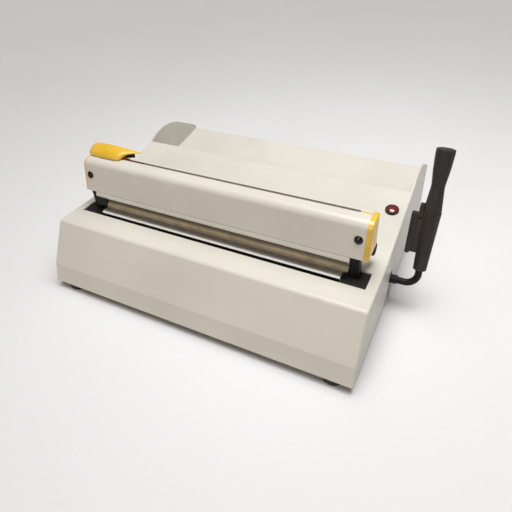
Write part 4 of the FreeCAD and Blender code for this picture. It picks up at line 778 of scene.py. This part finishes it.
# Stations along the beam, in mm: place, front face, back face.
CLAMP_STATIONS = [(17.5, 2.4, 6.8), (22, 4.6, 8.2), (28, 7.6, 9.4)]
CLAMP_HEIGHT = 5.2
clamp_rings = []
for x, front, back in CLAMP_STATIONS:
    outline = [(front, 0), (back, 0), (back, CLAMP_HEIGHT), (front, CLAMP_HEIGHT)]
    clamp_rings.append([knob_middle + MM * Vector((x, y, z)) for y, z in outline])
shoe_mesh = closed_skin(shoe_rings, crease_degrees=30)
clamp_mesh = closed_skin(clamp_rings, crease_degrees=30)
shoe_crown = new_piece("shoe_crown", shoe_mesh, "cutter", red_acetal)
blade_clamp = new_piece("blade_clamp", clamp_mesh, "cutter", black_steel)
print("under the beak:", [(piece.name, len(piece.data.polygons)) for piece in (shoe_crown, blade_clamp)])

# %% [markdown]
# ## Grip
# The grip is a sleeve of soft plastic, drawn in at the waist and widening to a flat end with a crisp rim. It
# is turned round the solid grip's own axis. The axis could be typed in, but it leans with the lever, so it is
# worked out from the solid: the way in which its corners are spread the furthest.

# %% Grip turned round its axis
# Stations from foot to end: share of the grip's length, radius in mm.
GRIP_STATIONS = [(0, 9.4), (0.22, 8.2), (0.4, 7.1), (0.5, 7.5), (0.68, 8.8), (0.88, 9.63), (0.98, 9.76)]
GRIP_RIM = [(0.991, 9.5), (0.995, 8.8)]
GRIP_STEPS = 60
GRIP_SEGMENTS = 48
grip_solid = nodes["lever_grip"].data
grip_points = numpy.array([v.co for v in grip_solid.vertices])
grip_mean = grip_points.mean(axis=0)
widest = Vector(numpy.linalg.svd(grip_points - grip_mean, full_matrices=False)[2][0])
grip_axis = Vector((0, widest.y, widest.z)).normalized() * (1 if widest.z > 0 else -1)
grip_middle = Vector(grip_mean)
grip_heights = [(v.co - grip_middle).dot(grip_axis) for v in grip_solid.vertices]
grip_foot = grip_middle + grip_axis * min(grip_heights)
grip_length = max(grip_heights) - min(grip_heights)
grip_along = grip_axis.cross(SIDEWAYS)
grip_profile = [through(GRIP_STATIONS, k / GRIP_STEPS) for k in range(GRIP_STEPS + 1)] + GRIP_RIM
grip_rings = []
for share, radius in grip_profile:
    spot = grip_foot + grip_axis * grip_length * share
    grip_rings.append(circle(spot, SIDEWAYS, grip_along, radius * MM, GRIP_SEGMENTS))
grip_mesh = closed_skin(grip_rings, crease_degrees=40)
new_piece("grip_sleeve", grip_mesh, "lever", black_pvc, ["lever_grip"])
print("grip, mm: length", round(grip_length / MM, 1), "axis", [round(x, 4) for x in grip_axis])

# %% [markdown]
# ## Lower jaw
# The bar under the upper jaw shows only a bright lip: a grey silicone strip covers most of its top, and a
# thin black strip over its front, below the lip, is painted shade: the dark gap of the slot in front of the
# bar. Both are long strips with one section. Boxes would leave out the black strip's chamfer, and the slight
# crown with which a soft strip sits when it is pressed into a groove, so each is a section swept along the
# bar.


# %% A section swept along the machine
def swept_strip(name, section, ends, body, material, stands_for=()):
    """A closed section of places across and heights, in metres, swept along X between two ends."""
    mesh = closed_skin([[Vector((x, y, z)) for y, z in section] for x in ends], crease_degrees=30)
    return new_piece(name, mesh, body, material, stands_for)


bar_low, bar_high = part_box("lower_jaw")
bar_ends = (bar_low.x, bar_high.x)
print("bar, mm: length", round((bar_high.x - bar_low.x) / MM, 1))

# %% Silicone strip, and black strip of painted shade on the bar
LIP_DEPTH = 2.4 * MM
LIP_HEIGHT = 1.3 * MM
STRIP_EDGE = 0.04 * MM
STRIP_CROWN = 0.14 * MM
CROWN_STEPS = 10
SHADE_STRIP_THICKNESS = 0.3 * MM
strip_low, strip_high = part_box("rubber_strip")
strip_front = bar_low.y + LIP_DEPTH
strip_width = strip_high.y - strip_front
strip_edge = bar_high.z - STRIP_EDGE
strip_shares = [k / CROWN_STEPS for k in range(CROWN_STEPS + 1)]
strip_section = [(strip_high.y, strip_low.z), (strip_low.y, strip_low.z), (strip_low.y, strip_edge),
                 (strip_front, strip_edge)]
strip_top = bar_high.z + STRIP_EDGE
strip_section += [(strip_front + strip_width * share, strip_top + STRIP_CROWN * math.sin(math.pi * share))
                  for share in strip_shares]
swept_strip("pressure_strip", strip_section, bar_ends, "base", grey_silicone,
            ["rubber_strip"])
# A black strip on the bar's front, below its bright lip: painted shade of the slot's dark gap in front of the
# bar.
shade_strip_back = bar_low.y + STRIP_EDGE
shade_strip_front = bar_low.y - SHADE_STRIP_THICKNESS
shade_strip_top = bar_high.z - LIP_HEIGHT
shade_strip_section = [(shade_strip_back, bar_low.z), (shade_strip_back, shade_strip_top), (shade_strip_front + STRIP_EDGE, shade_strip_top),
                 (shade_strip_front, shade_strip_top - SHADE_STRIP_THICKNESS), (shade_strip_front, bar_low.z)]
swept_strip("bar_painted_shade", shade_strip_section, bar_ends, "base", black_steel)
print("strip, mm: width", round(strip_width / MM, 1), "painted_shade_strip below the bar's top", round(LIP_HEIGHT / MM, 1))

# %% [markdown]
# ## Grey strips along the slit
# The slit in the beam's top, where the cutter runs, gets a thin grey strip along both sides: painted shade
# that widens the slit's dark line. A line painted on the enamel would be lost from the side, so the strips
# are swept in the same way as the strips of the lower jaw. They stop short of the end caps.

# %% Grey strips of painted shade along the slit
SLIT_STRIP_WIDTH = 0.8 * MM
SLIT_STRIP_TOP = 0.8 * SLIT_STRIP_WIDTH
SLIT_STRIP_PROUD = 0.12 * MM
SLIT_STRIP_SUNK = 0.03 * MM
cover_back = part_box("beam_cover")[1].y
rail_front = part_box("beam_rail")[0].y
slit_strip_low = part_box("beam_cover")[1].z - SLIT_STRIP_SUNK
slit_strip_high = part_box("beam_cover")[1].z + SLIT_STRIP_PROUD
slit_strip_ends = [corner.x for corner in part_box("jaw_carrier")]
# Grey strips on both sides of the slit: painted shade that widens its dark line.
for name, edge, way in (("slit_shade_front", cover_back, -1), ("slit_shade_back", rail_front, 1)):
    slit_strip_section = [(edge, slit_strip_low), (edge, slit_strip_high), (edge + way * SLIT_STRIP_TOP, slit_strip_high),
                   (edge + way * SLIT_STRIP_WIDTH, slit_strip_low)]
    swept_strip(name, slit_strip_section, slit_strip_ends, "beam", slit_shade_nylon)
print("slit, mm: width", round((rail_front - cover_back) / MM, 2))

# %% [markdown]
# ## End stop
# Behind the right end cap, under the beam, a round black bit shows, taken to be the stop that ends the
# cutter's run. A plain cylinder would lack its rounded rims, so it is turned: rings round an axis along the
# beam.

# %% Stop turned round its axis
# Stations along the beam: distance from the cap's outer face and radius, in mm.
STOP_STATIONS = [(-8, 5.6), (-7.4, 6.8), (-6.4, 7.2), (-1.4, 7.2), (-0.5, 6.8), (0, 5.8)]
STOP_DROP = 6.2 * MM
STOP_SEGMENTS = 36
cap_low, cap_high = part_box("end_cap_right")
stop_spot = Vector((cap_high.x, cap_high.y, cap_low.z - STOP_DROP))
BACKWARD = Vector((0, 1, 0))
UP = Vector((0, 0, 1))
stop_rings = [circle(stop_spot + x * MM * SIDEWAYS, BACKWARD, UP, radius * MM, STOP_SEGMENTS)
              for x, radius in STOP_STATIONS]
stop_mesh = closed_skin(stop_rings, crease_degrees=50)
end_stop = new_piece("end_stop", stop_mesh, "beam", black_nylon)
print("end stop faces:", len(end_stop.data.polygons))

# %% [markdown]
# ## Inlet pins
# The mains inlet at the back is moulded round three metal blades. In the solid they are one piece with the
# moulding and take its black finish, so each blade gets a thin plated skin with a chamfered tip, a little
# larger than the solid blade below it.

# %% Plated skins on the blades
# Each blade, in mm from the middle of the inlet: place across, lower edge, upper edge.
BLADES = [(-7, -3.06, 1.06), (0, -1.06, 3.06), (7, -3.06, 1.06)]
BLADE_HALF = 1.06
# Stations along a blade, in mm: place past the tip of the solid blade, inset of the section.
BLADE_STATIONS = [(-15, 0), (0.1, 0), (0.8, 0.45)]
TIP_DEPTH = 6 * MM
inlet_low, inlet_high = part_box("mains_inlet")
inlet_middle = (inlet_low + inlet_high) / 2
tip_line = Vector((inlet_middle.x, inlet_high.y - TIP_DEPTH, inlet_middle.z))
blades = bmesh.new()
for across, low, high in BLADES:
    blade_rings = []
    for y, inset in BLADE_STATIONS:
        half, bottom, top = BLADE_HALF - inset, low + inset, high - inset
        outline = ((-half, bottom), (half, bottom), (half, top), (-half, top))
        blade_rings.append([tip_line + MM * Vector((across + x, y, z)) for x, z in outline])
    blades.from_mesh(closed_skin(blade_rings, crease_degrees=30))
for face in blades.faces:
    face.smooth = False
inlet_pins = new_piece("inlet_pins", finished_mesh(blades, "inlet_pins"), "base", nickel_brass)
print("inlet pin faces:", len(inlet_pins.data.polygons))

# %% [markdown]
# ## Floor and light
# The photograph was taken on white, with a broad light straight above: the deck and the cradle are light, the
# front is duller, the side is duller still, and hardly a shadow shows. One wide sun lamp would light the
# floor evenly but leave the inner face of the left cheek as dull as the panel behind the lever, which faces
# the same way. So a soft box also hangs low over the machine, where it lights the cheek far more than that
# panel, and a weak warm lamp fills the front. The sky is dim, and pale only low down, where a studio has its
# walls.

# %% White floor
FLOOR_HALF = 40.0
floor_corners = [(x * FLOOR_HALF, y * FLOOR_HALF, 0) for x, y in ((-1, -1), (1, -1), (1, 1), (-1, 1))]
floor_mesh = bpy.data.meshes.new("floor")
floor_mesh.from_pydata(floor_corners, [], [(0, 1, 2, 3)])
floor = bpy.data.objects.new("floor", floor_mesh)
bpy.context.scene.collection.objects.link(floor)
# White background paper: matt, with hardly any tooth.
white_paper = finish(
    "white_background_paper", ("#d6d6d7", "#d8d8d9"),
    patch_mm=400, grain_mm=3, relief_mm=0.01, gloss=(0.8, 0.9))
dress(floor, white_paper)
print("floor, m:", 2 * FLOOR_HALF)

# %% Dim sky with a pale horizon
SKY_LOW = (0.84, 0.81, 0.77, 1)
SKY_HIGH = (0.15, 0.132, 0.11, 1)
SKY_FADE = 0.14
sky = bpy.data.worlds.new("pale_studio")
bpy.context.scene.world = sky
sky.use_nodes = True
sky_tree = sky.node_tree
sky_place = node(sky_tree, "ShaderNodeTexCoord").outputs["Generated"]
sky_height = node(sky_tree, "ShaderNodeSeparateXYZ", {"Vector": sky_place}).outputs["Z"]
sky_tone = node(sky_tree, "ShaderNodeValToRGB", {"Fac": sky_height}, [(0.0, SKY_LOW), (SKY_FADE, SKY_HIGH)])
sky_tree.links.new(sky_tone.outputs["Color"], sky_tree.nodes["Background"].inputs["Color"])
print("sky nodes:", len(sky_tree.nodes))

# %% Lamps
SUN_DISTANCE = 2.0
BOX_SIZE = 0.45
BOX_POWER = 4.4
BOX_PLACE = (0.13, 0.05, 0.84)


def soft_sun(name, strength, spread, elevation, bearing, tint):
    """A sun lamp whose disc is wide; its bearing is 0 in front, and grows to the right."""
    lamp_data = bpy.data.lights.new(name, "SUN")
    lamp_data.energy = strength
    lamp_data.color = tint
    lamp_data.angle = math.radians(spread)
    lamp = bpy.data.objects.new(name, lamp_data)
    rise, swing = math.radians(elevation), math.radians(bearing)
    towards = Vector((math.cos(rise) * math.sin(swing), -math.cos(rise) * math.cos(swing), math.sin(rise)))
    lamp.location = SUN_DISTANCE * towards
    lamp.rotation_euler = towards.to_track_quat("Z", "Y").to_euler()
    bpy.context.scene.collection.objects.link(lamp)


soft_sun("broad_overhead", strength=1.9, spread=38, elevation=86, bearing=60, tint=(1, 1, 1))
soft_sun("front_fill", strength=0.6, spread=24, elevation=22, bearing=-12, tint=(1, 0.87, 0.7))
box_data = bpy.data.lights.new("soft_box", "AREA")
box_data.shape = "SQUARE"
box_data.size = BOX_SIZE
box_data.energy = BOX_POWER
soft_box = bpy.data.objects.new("soft_box", box_data)
soft_box.location = BOX_PLACE
bpy.context.scene.collection.objects.link(soft_box)
bpy.context.scene.view_settings.view_transform = "Standard"
print("lamps, suns in W/m2 and the box in W:", {lamp.name: round(lamp.energy, 2) for lamp in bpy.data.lights})
